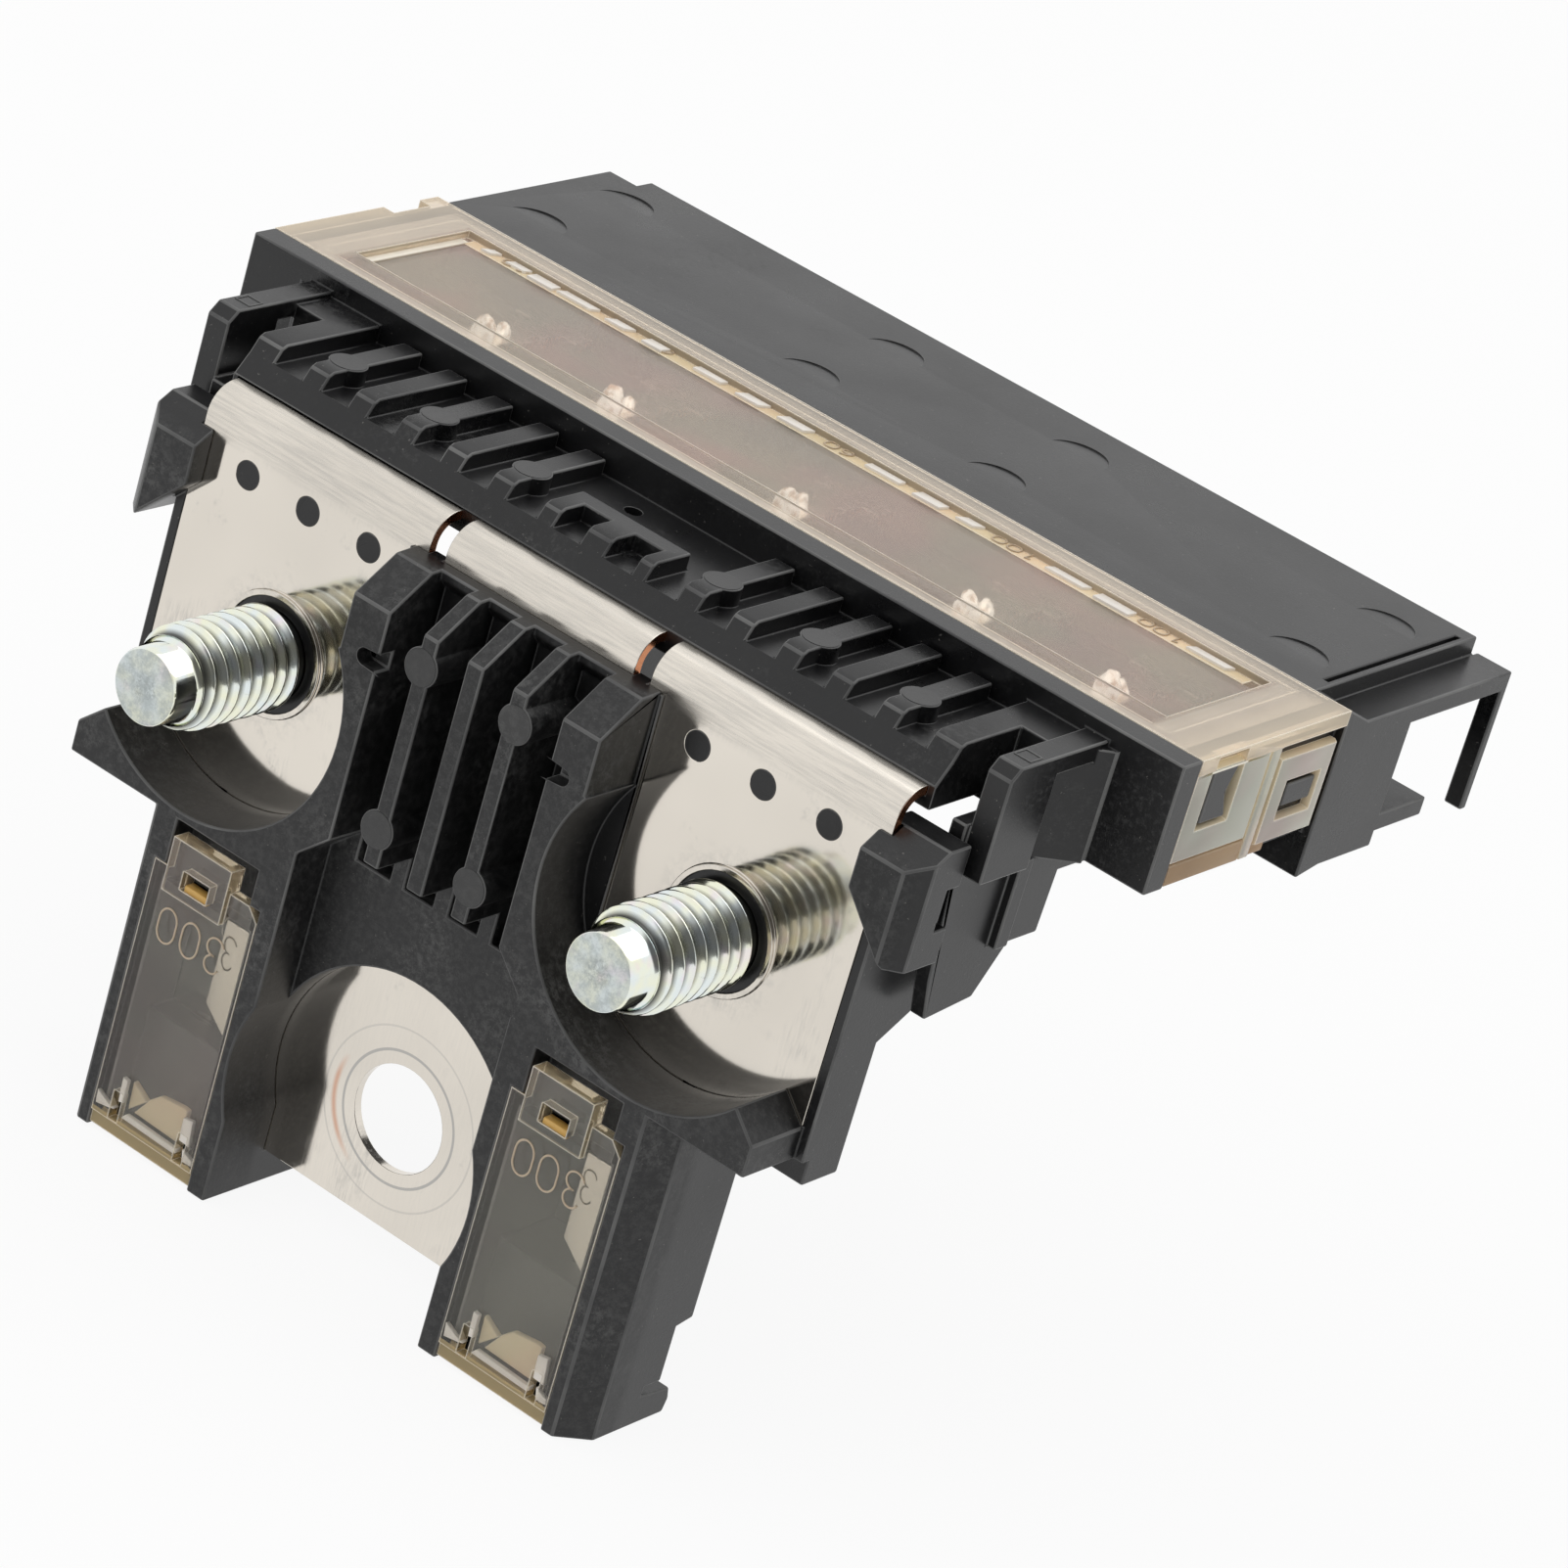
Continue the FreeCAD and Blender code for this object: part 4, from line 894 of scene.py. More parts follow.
@dataclass(frozen=True)
class Studs(Assembly):
    """Threaded studs with their dog points."""

    x: float = STUD_AXIS[0]
    z: float = STUD_AXIS[2]
    tip: float = -13.5
    point_radius: float = 2.9
    point_end: float = -10.9
    crest: float = 3.94
    root: float = 3.24
    thread_start: float = -10.9
    thread_end: float = -0.9
    pitch: float = 1.25
    turn_steps: int = 121
    length_steps: int = 161
    head_radius: float = 6.0
    head_front: float = 0.8
    head_back: float = 2.8
    neck: float = 3.4
    chamfer: float = 0.35
    # profile of the dark ring at a stud's foot: painted shade over the real gap
    dark_ring_profile: tuple[Flat, ...] = (
        (3.5, 0.05), (3.5, -0.16), (4.22, -0.20), (4.42, -0.14), (4.48, -0.01), (4.3, 0.05), (3.5, 0.05))

    def thread_group(self, material: Material) -> GeometryGroup:
        """Helical thread as a displaced grid.

        Args:
            material: Material of the thread.

        Returns:
            The node group with its inputs.
        """
        made = GeometryGroup("thread_turns")
        sockets = made.start("Centre X", "Centre Z", "Start", "Length", "Crest", "Root", "Pitch")
        graph = made.graph
        grid = graph.add("GeometryNodeMeshGrid", {
            "Size X": 1.0, "Size Y": 1.0, "Vertices X": self.turn_steps, "Vertices Y": self.length_steps})
        axes = graph.split(graph.add("GeometryNodeInputPosition").outputs[0])
        turn = graph.plus(axes[0], 0.5)
        along = graph.times(graph.plus(axes[1], 0.5), sockets["Length"])
        wave = graph.math("FRACT", graph.plus(graph.math("DIVIDE", along, sockets["Pitch"]), turn))
        ridge = graph.minus(1.0, graph.size(graph.minus(graph.times(wave, 2.0), 1.0)))
        flank = graph.span(ridge, 0.10, 0.90)
        fade = graph.span(along, 0.0, 0.9, 0.15, 1.0)
        depth = graph.minus(sockets["Crest"], sockets["Root"])
        wobble = graph.noise(graph.add("ShaderNodeCombineXYZ", {
            0: graph.times(turn, 9.0), 1: along, 2: sockets["Seed"]}).outputs[0], 1.0, 3.0)
        uneven = graph.span(wobble, 0.3, 0.7, -0.03, 0.03)
        height = graph.times(graph.times(flank, depth), fade)
        radius = graph.plus(graph.plus(sockets["Root"], height), graph.times(uneven, flank))
        angle = graph.times(turn, -2.0 * math.pi)
        place = graph.add("ShaderNodeCombineXYZ", {
            0: graph.math("MULTIPLY_ADD", graph.math("COSINE", angle), radius, sockets["Centre X"]),
            1: graph.plus(along, sockets["Start"]),
            2: graph.math("MULTIPLY_ADD", graph.math("SINE", angle), radius, sockets["Centre Z"])}).outputs[0]
        metres = graph.vector("MULTIPLY", place, (MM,) * 3)
        moved = graph.add("GeometryNodeSetPosition", {0: grid.outputs[0], "Position": metres}).outputs[0]
        closed = graph.add("GeometryNodeMergeByDistance", {0: moved, "Distance": 0.001 * MM}).outputs[0]
        made.finish(closed, material)
        return made

    def dark_ring(self, side: Side) -> Piece:
        """Dark ring that shows round the foot of a stud, partly the real gap at the plate and partly painted
        shade.
        """
        return self.turned(f"stud_seal_{side.label}", self.dark_ring_profile, side)

    def body(self, side: Side) -> Piece:
        """Turned core with dog point, neck and head.

        Args:
            side: End of the part.

        Returns:
            The new piece.
        """
        tip, point, point_end, root = self.tip, self.point_radius, self.point_end, self.root
        profile = [
            (0.0, tip + 0.10), (0.6, tip + 0.09), (1.1, tip + 0.05), (1.6, tip + 0.01),
            (point - self.chamfer, tip), (point - 0.1, tip + 0.12), (point, tip + self.chamfer),
            (point, point_end - 0.35), (point + 0.12, point_end - 0.1), (root + 0.05, point_end + 0.12),
            (root - 0.02, point_end + 0.3), (root - 0.02, self.thread_end + 0.05),
            (self.neck, self.thread_end + 0.1), (self.neck, self.head_front),
            (self.head_radius, self.head_front), (self.head_radius, self.head_back), (0.0, self.head_back)]
        return self.turned(f"stud_core_{side.label}", profile, side)

    def turned(self, name: str, profile: Sequence[Flat], side: Side) -> Piece:
        """Turn a profile round the axis of a stud.

        Args:
            name: Name of the piece.
            profile: Radius and Y of each corner in millimetres.
            side: End of the part.

        Returns:
            The new piece.
        """
        shape = bmesh.new()
        ring = [shape.verts.new((radius * MM, y * MM, 0.0)) for radius, y in profile]
        for first, second in zip(ring, ring[1:]):
            shape.edges.new((first, second))
        bmesh.ops.spin(shape, geom=shape.verts[:] + shape.edges[:], angle=2 * math.pi, steps=96,
                       axis=(0.0, 1.0, 0.0), cent=(0.0, 0.0, 0.0))
        bmesh.ops.remove_doubles(shape, verts=shape.verts, dist=0.001 * MM)
        bmesh.ops.translate(shape, vec=(side.value * self.x * MM, 0.0, self.z * MM), verts=shape.verts)
        bmesh.ops.recalc_face_normals(shape, faces=shape.faces)
        return meshed(name, shape, 32.0)

    def build(self) -> None:
        """Make both studs."""
        group = self.thread_group(self.finishes.zinc)
        for side in Side:
            dress(self.dark_ring(side), [self.finishes.nylon])
            node = f"stud_{side.label}"
            dress(self.body(side), [self.finishes.zinc], [node])
            thread = new_piece(f"stud_thread_{side.label}", bpy.data.meshes.new("thread"))
            group.run(thread, **{
                "Centre X": side.value * self.x, "Centre Z": self.z, "Start": self.thread_start,
                "Length": self.thread_end - self.thread_start, "Crest": self.crest, "Root": self.root,
                "Pitch": self.pitch, "Seed": 3 + side.value})
            dress(thread, [self.finishes.zinc], [node])


@dataclass(frozen=True)
class CrimpRow(Assembly):
    """Tin crimped on the five small links, seen as two lobes each."""

    places: tuple[float, ...] = (-29.8, -17.1, 0.0, 17.1, 29.8)
    names: tuple[str, ...] = ("far_left", "left", "middle", "right", "far_right")
    y: float = 27.0
    z: float = 44.0
    front: Point = (1.1, 0.8, 2.1)
    rear: Point = (0.8, 0.45, 1.3)
    gap: float = 1.7
    least_lean: Point = (-0.12, -0.1, -0.35)
    most_lean: Point = (0.12, 0.1, 0.1)
    lumpiness: float = 0.9

    def build(self) -> None:
        """Make the row of crimps."""
        made = GeometryGroup("crimped_row")
        sockets = made.start("Lump", "Turn")
        graph = made.graph
        lobes = []
        for size, shift in ((self.front, 0.0), (self.rear, self.gap)):
            ball = graph.add("GeometryNodeMeshIcoSphere", {"Radius": MM, "Subdivisions": 4}).outputs[0]
            lobes.append(graph.add("GeometryNodeTransform", {
                0: ball, "Scale": size, "Translation": (0.0, shift * MM, 0.0)}).outputs[0])
        joined = graph.add("GeometryNodeJoinGeometry")
        for lobe in reversed(lobes):
            graph.tree.links.new(lobe, joined.inputs[0])
        lean = graph.add("FunctionNodeRandomValue", {
            0: self.least_lean, 1: self.most_lean, "Seed": sockets["Seed"]}, data_type="FLOAT_VECTOR")
        turned = graph.scaled(lean.outputs[0], sockets["Turn"])
        spread = graph.add("GeometryNodeInstanceOnPoints", {
            0: sockets[0], "Instance": joined.outputs[0], "Rotation": turned}).outputs[0]
        real = graph.add("GeometryNodeRealizeInstances", {0: spread}).outputs[0]
        spot = graph.vector("MULTIPLY", graph.add("GeometryNodeInputPosition").outputs[0], (1000.0,) * 3)
        lump = graph.times(graph.minus(graph.noise(spot, 1.1, 2.0), 0.5), sockets["Lump"])
        push = graph.scaled(graph.add("GeometryNodeInputNormal").outputs[0], lump)
        lumpy = graph.add("GeometryNodeSetPosition", {0: real, "Offset": push}).outputs[0]
        made.finish(lumpy, self.finishes.pellet)
        mesh = bpy.data.meshes.new("crimped_links")
        mesh.from_pydata([(x * MM, self.y * MM, self.z * MM) for x in self.places], [], [])
        row = new_piece("crimped_links", mesh)
        made.run(row, Lump=self.lumpiness * MM, Turn=1.0, Seed=4)
        dress(row, [self.finishes.pellet], [f"tin_pellet_{name}" for name in self.names])


def arc(centre: Flat, radii: Flat, start: float, end: float) -> list[Flat]:
    """Points along an ellipse.

    Args:
        centre: Middle of the ellipse.
        radii: Half width and half height.
        start: First angle in degrees.
        end: Last angle in degrees.

    Returns:
        The points in order.
    """
    count = max(4, int(abs(end - start) / 12))
    turns = [math.radians(start + (end - start) * step / count) for step in range(count + 1)]
    return [(centre[0] + radii[0] * math.cos(turn), centre[1] + radii[1] * math.sin(turn)) for turn in turns]


DIGITS = {
    "0": [arc((0.3, 0.64), (0.29, 0.34), 0, 180) + arc((0.3, 0.36), (0.29, 0.34), 180, 360) + [(0.59, 0.64)]],
    "1": [[(0.12, 0.78), (0.32, 0.98), (0.32, 0.02)]],
    "3": [arc((0.28, 0.74), (0.24, 0.24), 160, -90) + arc((0.28, 0.26), (0.27, 0.25), 90, -160)],
    "6": [arc((0.3, 0.28), (0.26, 0.27), 150, 510), arc((0.62, 0.30), (0.58, 0.68), 180, 105)],
}


@dataclass(frozen=True)
class Numerals:
    """Plain number drawn with one raised line, turned half round as it is moulded."""

    finish: Material
    text: str
    height: float
    line: float
    pitch: float = 0.80

    def build(self, name: str, centre: Point, lie: Matrix) -> None:
        """Make the number.

        Args:
            name: Name of the piece.
            centre: Middle of the number in millimetres.
            lie: Turn from the text's plane to the part.
        """
        curve = bpy.data.curves.new(name, "CURVE")
        curve.dimensions = "3D"
        curve.bevel_depth = self.line
        curve.bevel_resolution = 1
        shift = (len(self.text) * self.pitch - 0.2) / 2
        for index, digit in enumerate(self.text):
            for stroke in DIGITS[digit]:
                spline = curve.splines.new("POLY")
                spline.points.add(len(stroke) - 1)
                for point, (x, y) in zip(spline.points, stroke):
                    place = (x + index * self.pitch - shift, y - 0.5, 0.0)
                    point.co = (*(part * self.height for part in place), 1.0)
        writer = bpy.data.objects.new(name, curve)
        bpy.context.scene.collection.objects.link(writer)
        bpy.context.view_layer.update()
        mesh = bpy.data.meshes.new_from_object(writer.evaluated_get(bpy.context.evaluated_depsgraph_get()))
        bpy.data.objects.remove(writer)
        bpy.data.curves.remove(curve)
        mesh.transform(Matrix.Scale(MM, 4))
        mesh.transform(Matrix.Translation(Vector(centre) * MM) @ lie)
        for polygon in mesh.polygons:
            polygon.use_smooth = True
        dress(new_piece(name, mesh), [self.finish])


@dataclass(frozen=True)
class Housings(Assembly):
    """Both black mouldings, with softened edges and small moulded marks."""

    rounding: Softening = Softening(0.16)
    mark_half: float = 0.75
    mark_line: float = 0.12
    mark_x: float = 36.6
    mark_y: float = 7.1
    mark_z: float = 47.4

    def build(self) -> None:
        """Make both mouldings and their marks."""
        for node in ("front_housing", "upper_housing"):
            piece = self.rounding.apply(node, f"{node}_moulding")
            dress(piece, [self.finishes.nylon, self.finishes.nylon_wear_and_highlight], [node])
        for side in Side:
            self.arm_mark(side)

    def arm_mark(self, side: Side) -> None:
        """Square outline on top of an arm.

        Args:
            side: End of the part.
        """
        x, y = side.value * self.mark_x, self.mark_y
        low, high = self.mark_z - 0.05, self.mark_z + 0.06
        outer = self.mark_half
        inner = outer - self.mark_line
        bars = [((x - outer, y - outer, low), (x + outer, y - inner, high)),
                ((x - outer, y + inner, low), (x + outer, y + outer, high)),
                ((x - outer, y - inner, low), (x - inner, y + inner, high)),
                ((x + inner, y - inner, low), (x + outer, y + inner, high))]
        piece = solid_blocks(f"arm_mark_{side.label}", bars, 0.03)
        # the pale edge finish on the outline is painted highlight
        dress(piece, [self.finishes.nylon_wear_and_highlight])


@dataclass(frozen=True)
class EjectorMarks(Assembly):
    """Flat satin discs that the ejector pins leave on the ribs and on the block."""

    radius: float = 1.42
    rise: float = 0.03
    deck_first: float = 8.95
    deck_pitch: float = 4.49
    deck_steps: tuple[int, ...] = (0, 2, 4)
    deck_y: float = 7.6
    deck_z: float = 46.95
    block_x: float = 4.43
    block_y: float = -5.8
    block_heights: tuple[float, ...] = (36.0, 23.0)

    def build(self) -> None:
        """Make the discs of both mouldings."""
        deck = [(side.value * (self.deck_first + step * self.deck_pitch), self.deck_y, self.deck_z)
                for side in Side for step in self.deck_steps]
        block = [(side.value * self.block_x, self.block_y, z) for side in Side for z in self.block_heights]
        self.row("deck_marks", deck, (0.0, 0.0, 0.0))
        self.row("block_marks", block, (math.pi / 2, 0.0, 0.0))

    def row(self, name: str, places: Sequence[Point], turn: Point) -> None:
        """Instance one disc on every place.

        Args:
            name: Name of the piece.
            places: Middles of the discs in millimetres.
            turn: Rotation of the discs in radians.
        """
        made = GeometryGroup(name)
        sockets = made.start("Radius", "Rise", "Wear")
        graph = made.graph
        values = {"Vertices": 40, "Radius": sockets["Radius"], "Depth": sockets["Rise"]}
        disc = graph.add("GeometryNodeMeshCylinder", values, fill_type="NGON").outputs[0]
        wear = graph.add("FunctionNodeRandomValue", {2: 0.96, 3: 1.0, "Seed": sockets["Seed"]}).outputs[1]
        size = graph.times(wear, sockets["Wear"])
        spread = graph.add("GeometryNodeInstanceOnPoints", {
            0: sockets[0], "Instance": disc, "Rotation": turn, "Scale": size}).outputs[0]
        made.finish(spread, self.finishes.satin)
        mesh = bpy.data.meshes.new(name)
        mesh.from_pydata([tuple(part * MM for part in place) for place in places], [], [])
        piece = new_piece(name, mesh)
        made.run(piece, Radius=self.radius * MM, Rise=2 * self.rise * MM, Wear=1.0, Seed=2)
        piece.data.set_sharp_from_angle(angle=math.radians(30))
        dress(piece, [self.finishes.satin])


@dataclass(frozen=True)
class Busbar(Assembly):
    """Stamped and tin-plated sheet."""

    rounding: Softening = Softening(0.07)

    def build(self) -> None:
        """Make the sheet."""
        piece = self.rounding.apply("busbar", "busbar_sheet")
        dress(piece, [self.finishes.tin, self.finishes.tin], ["busbar"])


@dataclass(frozen=True)
class Lid(Assembly):
    """Long clear cover with its numerals, slot cells of painted light and painted highlight strips."""

    rounding: Softening = Softening(0.0)
    floor: float = 47.9
    top: float = 48.5
    rim_lines: tuple[Flat, ...] = ((17.86, 42.2), (18.75, 40.2), (34.75, 40.2), (36.1, 42.0))
    slot_front: float = 32.85
    slot_back: float = 33.75
    slot_high: float = 0.28
    slots: tuple[Flat, ...] = (
        (-36.2, -34.8), (-33.8, -31.7), (-31.4, -28.8), (-28.6, -24.8),
        (-23.7, -21.2), (-19.9, -17.8), (-15.0, -12.1),
        (-10.7, -7.9), (-6.6, -3.6), (1.7, 5.1),
        (6.4, 9.2), (10.4, 12.6), (18.7, 22.5),
        (23.3, 26.6), (31.6, 35.5))
    numbers: tuple[tuple[str, float], ...] = (
        ("60", -33.0), ("60", -18.6), ("60", -1.0), ("100", 15.6), ("100", 29.1))
    number_y: float = 33.4
    number_stretch: float = 1.5
    pale_strip_end: float = 1.5
    highlight_half: float = 0.09
    end_highlights_x: float = 40.1
    end_highlights_y: Flat = (19.2, 35.0)
    end_x: Flat = (43.1, 43.88)
    end_chamfer: float = 0.34

    def build(self) -> None:
        """Make the lid with its loops, slot cells of painted light, painted highlight strips and numbers."""
        piece = self.rounding.apply("top_cover", "top_cover_shell")
        self.clear_end(piece)
        dress(piece, [self.finishes.lid], ["top_cover"])
        self.end_loops()
        self.slot_row()
        self.highlight_lines()
        self.numerals()

    def slot_row(self) -> None:
        """Uneven pale cells at the back of the window, painted light where light shows through the slots, on
        a low pale strip that covers the shade behind them.
        """
        cells = []
        for index, (low, high) in enumerate(self.slots):
            front = self.slot_front + 0.16 * math.sin(2.3 * index)
            lean = 0.34 + 0.22 * math.cos(1.7 * index)
            cells.append([(low, front), (high - lean, front + 0.05), (high, self.slot_back),
                          (low + lean, self.slot_back)])
        level = self.floor - 0.05
        # painted light: pale cells where light shows through the slots
        slots = prisms("lid_slot_light", cells, level, self.floor + self.slot_high, 0.03, True)
        dress(slots, [self.finishes.mark])
        low, high = self.slots[0][0] - self.pale_strip_end, self.slots[-1][1] + self.pale_strip_end
        front, back = self.slot_front - 0.25, self.slot_back + 0.1
        corners = [(low, front), (high, front), (high, back), (low, back)]
        # painted light: pale strip that hides the shade between the cells and the back wall
        pale_strip = prisms("lid_pale_strip", [corners], level, self.floor + 0.05, 0.03, True)
        dress(pale_strip, [self.finishes.loops])

    def highlight_lines(self) -> None:
        """Painted highlight strips along the edges of the lid and window, and one at the left end of the
        window.
        """
        half, low, high = self.highlight_half, self.top - 0.13, self.top - 0.01
        highlights = [((-reach, y - half, low), (reach, y + half, high)) for y, reach in self.rim_lines]
        front, back = self.end_highlights_y
        for x in (-self.end_highlights_x, self.end_highlights_x):
            highlights.append(((x - half, front, low), (x + half, back, high)))
        # painted highlight on the left end wall of the window
        highlights.append(((-38.3, 21.2, self.floor - 0.02), (-37.6, 33.0, self.floor + 0.12)))
        dress(solid_blocks("lid_rim_highlights", highlights, 0.03), [self.finishes.line])

    def numerals(self) -> None:
        """Numbers over the small links, wider than they are high."""
        lie = Matrix.Rotation(math.pi, 4, "Z") @ Matrix.Diagonal((self.number_stretch, 1.0, 1.0, 1.0))
        for index, (text, x) in enumerate(self.numbers, start=1):
            number = Numerals(self.finishes.numeral, text, 1.15, 0.06)
            number.build(f"lid_number_{index}", (x, self.number_y, self.floor + 0.12), lie)

    def clear_end(self, piece: Piece) -> None:
        """Take the plain legs off the right end, where bevelled loops stand instead.

        Args:
            piece: Lid to cut.
        """
        cutter = solid_blocks("lid_cutter", [((43.0, 17.0, 38.0), (44.5, 37.0, 47.25))], 0.001)
        cutting = piece.modifiers.new("end", "BOOLEAN")
        cutting.operation = "DIFFERENCE"
        cutting.object = cutter
        cutting.solver = "EXACT"
        settled(piece)
        bpy.data.objects.remove(cutter)

    def end_loops(self) -> None:
        """Snap loops, post and foot of the right end."""
        inner, outer = self.end_x
        leg = window_frame("lid_leg_loop", (17.6, 27.0, 40.2, 47.4), (19.7, 23.5, 42.6, 46.9), self.end_x,
                           self.end_chamfer)
        loop = window_frame("lid_back_loop", (28.75, 36.0, 39.2, 46.2), (30.6, 34.8, 41.0, 44.0), self.end_x,
                            self.end_chamfer)
        post = solid_blocks("lid_post", [((inner, 27.05, 38.5), (outer, 28.3, 47.4)),
                                         ((inner, 28.2, 39.3), (43.6, 28.9, 41.5))], 0.16)
        foot = solid_blocks("lid_foot", [((inner, 17.7, 38.5), (43.84, 27.0, 40.15)),
                                         ((inner, 28.3, 38.5), (43.70, 30.3, 39.25))], 0.12)
        for piece in (leg, loop, post):
            dress(piece, [self.finishes.loops], ["top_cover"])
        # the foot's darker amber is painted shade
        dress(foot, [self.finishes.foot], ["top_cover"])


@dataclass(frozen=True)
class LinkCovers(Assembly):
    """Clear covers of the two large links, each with a foot clip."""

    x: float = 17.5
    front: float = -5.8
    rounding: Softening = Softening(0.0)
    bright_marks: tuple[tuple[Flat, ...], ...] = (
        ((-3.0, -6.3), (-2.5, -6.4), (-2.5, -8.3), (-2.95, -8.4)),
        ((3.2, -6.35), (4.1, -6.2), (4.3, -8.3), (3.25, -8.25)),
        ((-2.3, -9.4), (-1.9, -8.9), (3.2, -9.05), (3.15, -9.5)),
        ((-5.0, -8.4), (-4.5, -8.65), (-3.2, -9.2), (-4.9, -9.5)),
        ((3.75, -8.75), (4.9, -9.2), (4.9, -9.6), (3.95, -9.65)))
    link_strip: tuple[Flat, ...] = ((1.95, 9.6), (4.2, 9.6), (4.2, 0.9), (1.95, 2.6))
    latch_bar: tuple[Flat, ...] = ((-1.65, 10.15), (0.65, 10.15), (0.65, 10.75), (-1.65, 10.75))
    faint_marks: tuple[tuple[Flat, ...], ...] = (
        ((-2.4, -6.5), (-0.8, -7.4), (-2.3, -8.85)),
        ((-0.5, -7.0), (0.3, -6.3), (2.5, -6.0), (3.0, -6.1), (3.0, -8.9), (-1.7, -8.8)))

    def build(self) -> None:
        """Make both covers."""
        lie = Matrix.Rotation(math.pi, 4, "Y") @ Matrix.Rotation(math.pi / 2, 4, "X")
        for side in Side:
            name = f"cover_{side.label}"
            x = side.value * self.x
            dress(self.rounding.apply(name, f"{name}_shell"), [self.finishes.cover], [name])
            number = Numerals(self.finishes.numeral, "300", 2.9, 0.085)
            number.build(f"{name}_number", (x - 0.2, self.front - 0.03, 6.8), lie)
            self.inside(name, x)

    def inside(self, name: str, x: float) -> None:
        """Pale clip, amber bar in the latch eye and strip of the link behind a cover, its tin darkened as
        painted shade.

        Args:
            name: Name of the cover.
            x: Middle of the cover in millimetres.
        """
        face = self.front + 0.12
        kit = self.finishes
        for label, outlines, depth, rounding, slot, material in (
                ("clip_face", self.bright_marks, (face, face + 0.7), 0.05, Slot.CLEAR, kit.mark),
                ("clip_body", self.faint_marks, (face + 0.95, face + 1.5), 0.10, Slot.CLEAR, kit.loops),
                ("latch_bar", [self.latch_bar], (face - 0.42, face + 0.5), 0.06, Slot.CLEAR, kit.amber),
                # the strip's darker tin is painted shade
                ("link_strip", [self.link_strip], (-4.6, -4.2), 0.10, Slot.TIN, kit.link)):
            placed = [[(x + dx, z) for dx, z in outline] for outline in outlines]
            dress(prisms(f"{name}_{label}", placed, *depth, rounding), [material])


class Part:
    """The whole fuse, built in order."""

    def __init__(self) -> None:
        """Make the materials and the assemblies."""
        finishes = Finishes.build()
        kinds = (Busbar, Housings, EjectorMarks, Studs, CrimpRow, Lid, LinkCovers)
        self.assemblies = [kind(finishes) for kind in kinds]

    def build(self) -> None:
        """Build each assembly and report it."""
        for assembly in self.assemblies:
            assembly.build()
            LOG.info("built %s", type(assembly).__name__)


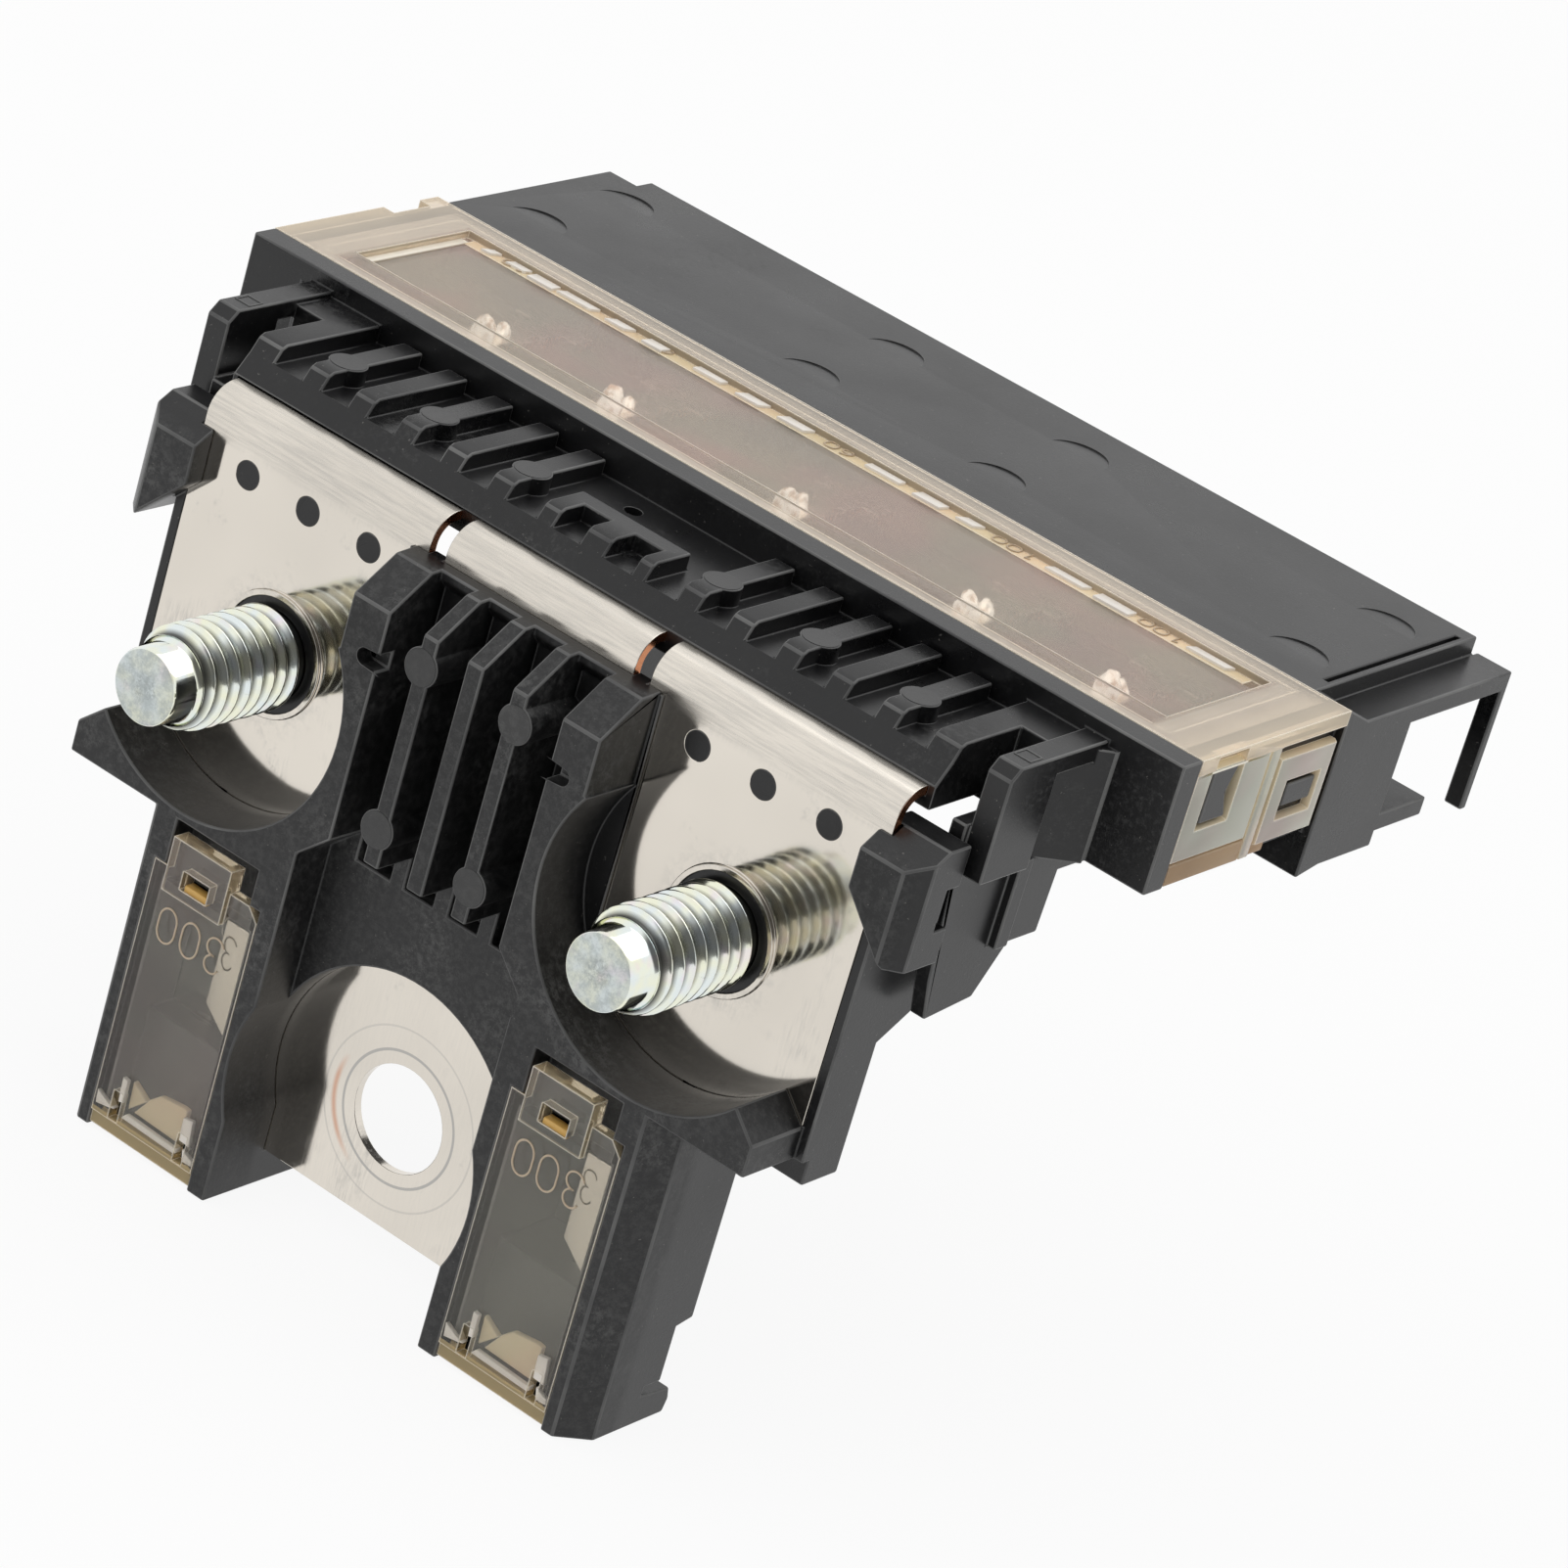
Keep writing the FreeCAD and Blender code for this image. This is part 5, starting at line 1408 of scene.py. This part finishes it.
@dataclass(frozen=True)
class Studio:
    """Plain floor, white surroundings, soft lamps and the camera."""

    floor_z: float = -11.6
    floor_half: float = 4000.0
    glow_share: float = 0.91
    fill: float = 0.60
    dark_side: Point = (0.58, -0.66, 0.48)
    dark_level: float = 0.12
    camera_place: Point = (238.87, -353.59, 229.26)
    camera_axes: tuple[Point, Point, Point] = (
        (0.7553, 0.6010, 0.2613), (-0.4528, 0.1905, 0.8710), (0.4737, -0.7762, 0.4160))
    lens: float = 153.83
    left_lamp: Point = (-420.0, -380.0, 620.0)
    top_lamp: Point = (120.0, 260.0, 800.0)
    lamp_side: float = 920.0
    lamp_aim: Point = (0.0, 20.0, 20.0)

    def build(self) -> None:
        """Make the surroundings."""
        self.world()
        self.floor()
        self.lamp("key", self.left_lamp, 1.55).visible_glossy = False
        self.lamp("sheen", self.left_lamp, 0.55)
        self.lamp("top", self.top_lamp, 2.0)
        self.camera()
        bpy.context.scene.view_settings.view_transform = "Standard"

    @staticmethod
    def seen(graph: Graph) -> Socket:
        """Whether a ray comes from the camera, a mirror or clear plastic.

        Args:
            graph: Graph of the world or of the floor.

        Returns:
            The socket, 1 for such a ray.
        """
        rays = graph.add("ShaderNodeLightPath").outputs
        bent = graph.most(rays["Is Glossy Ray"], rays["Is Transmission Ray"])
        return graph.most(rays["Is Camera Ray"], bent)

    def world(self) -> None:
        """White surroundings with a plain fill light."""
        world = bpy.data.worlds.new("studio")
        world.use_nodes = True
        bpy.context.scene.world = world
        graph = Graph(world.node_tree)
        rays = graph.add("ShaderNodeLightPath").outputs
        toward = graph.add("ShaderNodeTexCoord").outputs["Generated"]
        front = graph.vector("DOT_PRODUCT", toward, self.dark_side, out=1)
        mirrored = graph.add("ShaderNodeMapRange", {
            "Value": front, "From Min": 0.62, "From Max": 0.93, "To Min": 1.0, "To Max": self.dark_level},
            interpolation_type="SMOOTHSTEP").outputs["Result"]
        glossy = graph.times(rays["Is Glossy Ray"], mirrored)
        plain = graph.most(rays["Is Camera Ray"], rays["Is Transmission Ray"])
        filled = graph.times(graph.minus(1.0, self.seen(graph)), self.fill)
        strength = graph.most(graph.most(plain, glossy), filled)
        back = graph.add("ShaderNodeBackground", {"Color": (1.0, 1.0, 1.0, 1.0), "Strength": strength})
        graph.add("ShaderNodeOutputWorld", {"Surface": back.outputs[0]})

    def floor(self) -> None:
        """Pale floor that keeps a faint shadow."""
        mesh = bpy.data.meshes.new("floor")
        half = self.floor_half * MM
        z = self.floor_z * MM
        corners = [(-half, -half, z), (half, -half, z), (half, half, z), (-half, half, z)]
        mesh.from_pydata(corners, [], [(0, 1, 2, 3)])
        floor = new_piece("floor", mesh)
        material = bpy.data.materials.new("pale_floor")
        material.use_nodes = True
        graph = Graph(material.node_tree)
        matt = graph.add("ShaderNodeBsdfDiffuse", {"Color": (0.88, 0.88, 0.88, 1.0)})
        glow = graph.add("ShaderNodeEmission", {"Color": (1.0, 1.0, 1.0, 1.0), "Strength": 1.0})
        share = graph.times(self.seen(graph), self.glow_share)
        mixed = graph.layered(share, matt.outputs[0], glow.outputs[0])
        graph.add("ShaderNodeOutputMaterial", {"Surface": mixed})
        mesh.materials.append(material)
        floor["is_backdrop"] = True

    def lamp(self, name: str, place: Point, power: float) -> Piece:
        """Soft square lamp that points at the part.

        Args:
            name: Name of the lamp.
            place: Place in millimetres.
            power: Power in watts.

        Returns:
            The lamp.
        """
        light = bpy.data.lights.new(name, "AREA")
        light.energy = power
        light.size = self.lamp_side * MM
        lamp = bpy.data.objects.new(name, light)
        where = Vector(place) * MM
        aim = Vector(self.lamp_aim) * MM - where
        lamp.matrix_world = Matrix.Translation(where) @ aim.to_track_quat("-Z", "Y").to_matrix().to_4x4()
        bpy.context.scene.collection.objects.link(lamp)
        return lamp

    def camera(self) -> None:
        """Camera at the photograph's viewing angle."""
        data = bpy.data.cameras.new("camera")
        data.lens = self.lens
        data.sensor_width = 36.0
        data.clip_start = 0.01
        data.clip_end = 20.0
        camera = bpy.data.objects.new("camera", data)
        axes = Matrix([Vector(axis).normalized() for axis in self.camera_axes]).transposed()
        camera.matrix_world = Matrix.Translation(Vector(self.camera_place) * MM) @ axes.to_4x4()
        bpy.context.scene.collection.objects.link(camera)
        bpy.context.scene.camera = camera


def write_size() -> None:
    """Turn the CAD box and the final box into plain lists, which are not kept.
    """
    boxes = {"cad": CAD_BOUNDS, "final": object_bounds()}
    boxes = {name: [list(corner) for corner in box] for name, box in boxes.items()}


def main() -> None:
    """Build the surroundings and the part."""
    logging.basicConfig(level=logging.INFO)
    Studio().build()
    Part().build()
    write_size()


if __name__ == "__main__":
    main()
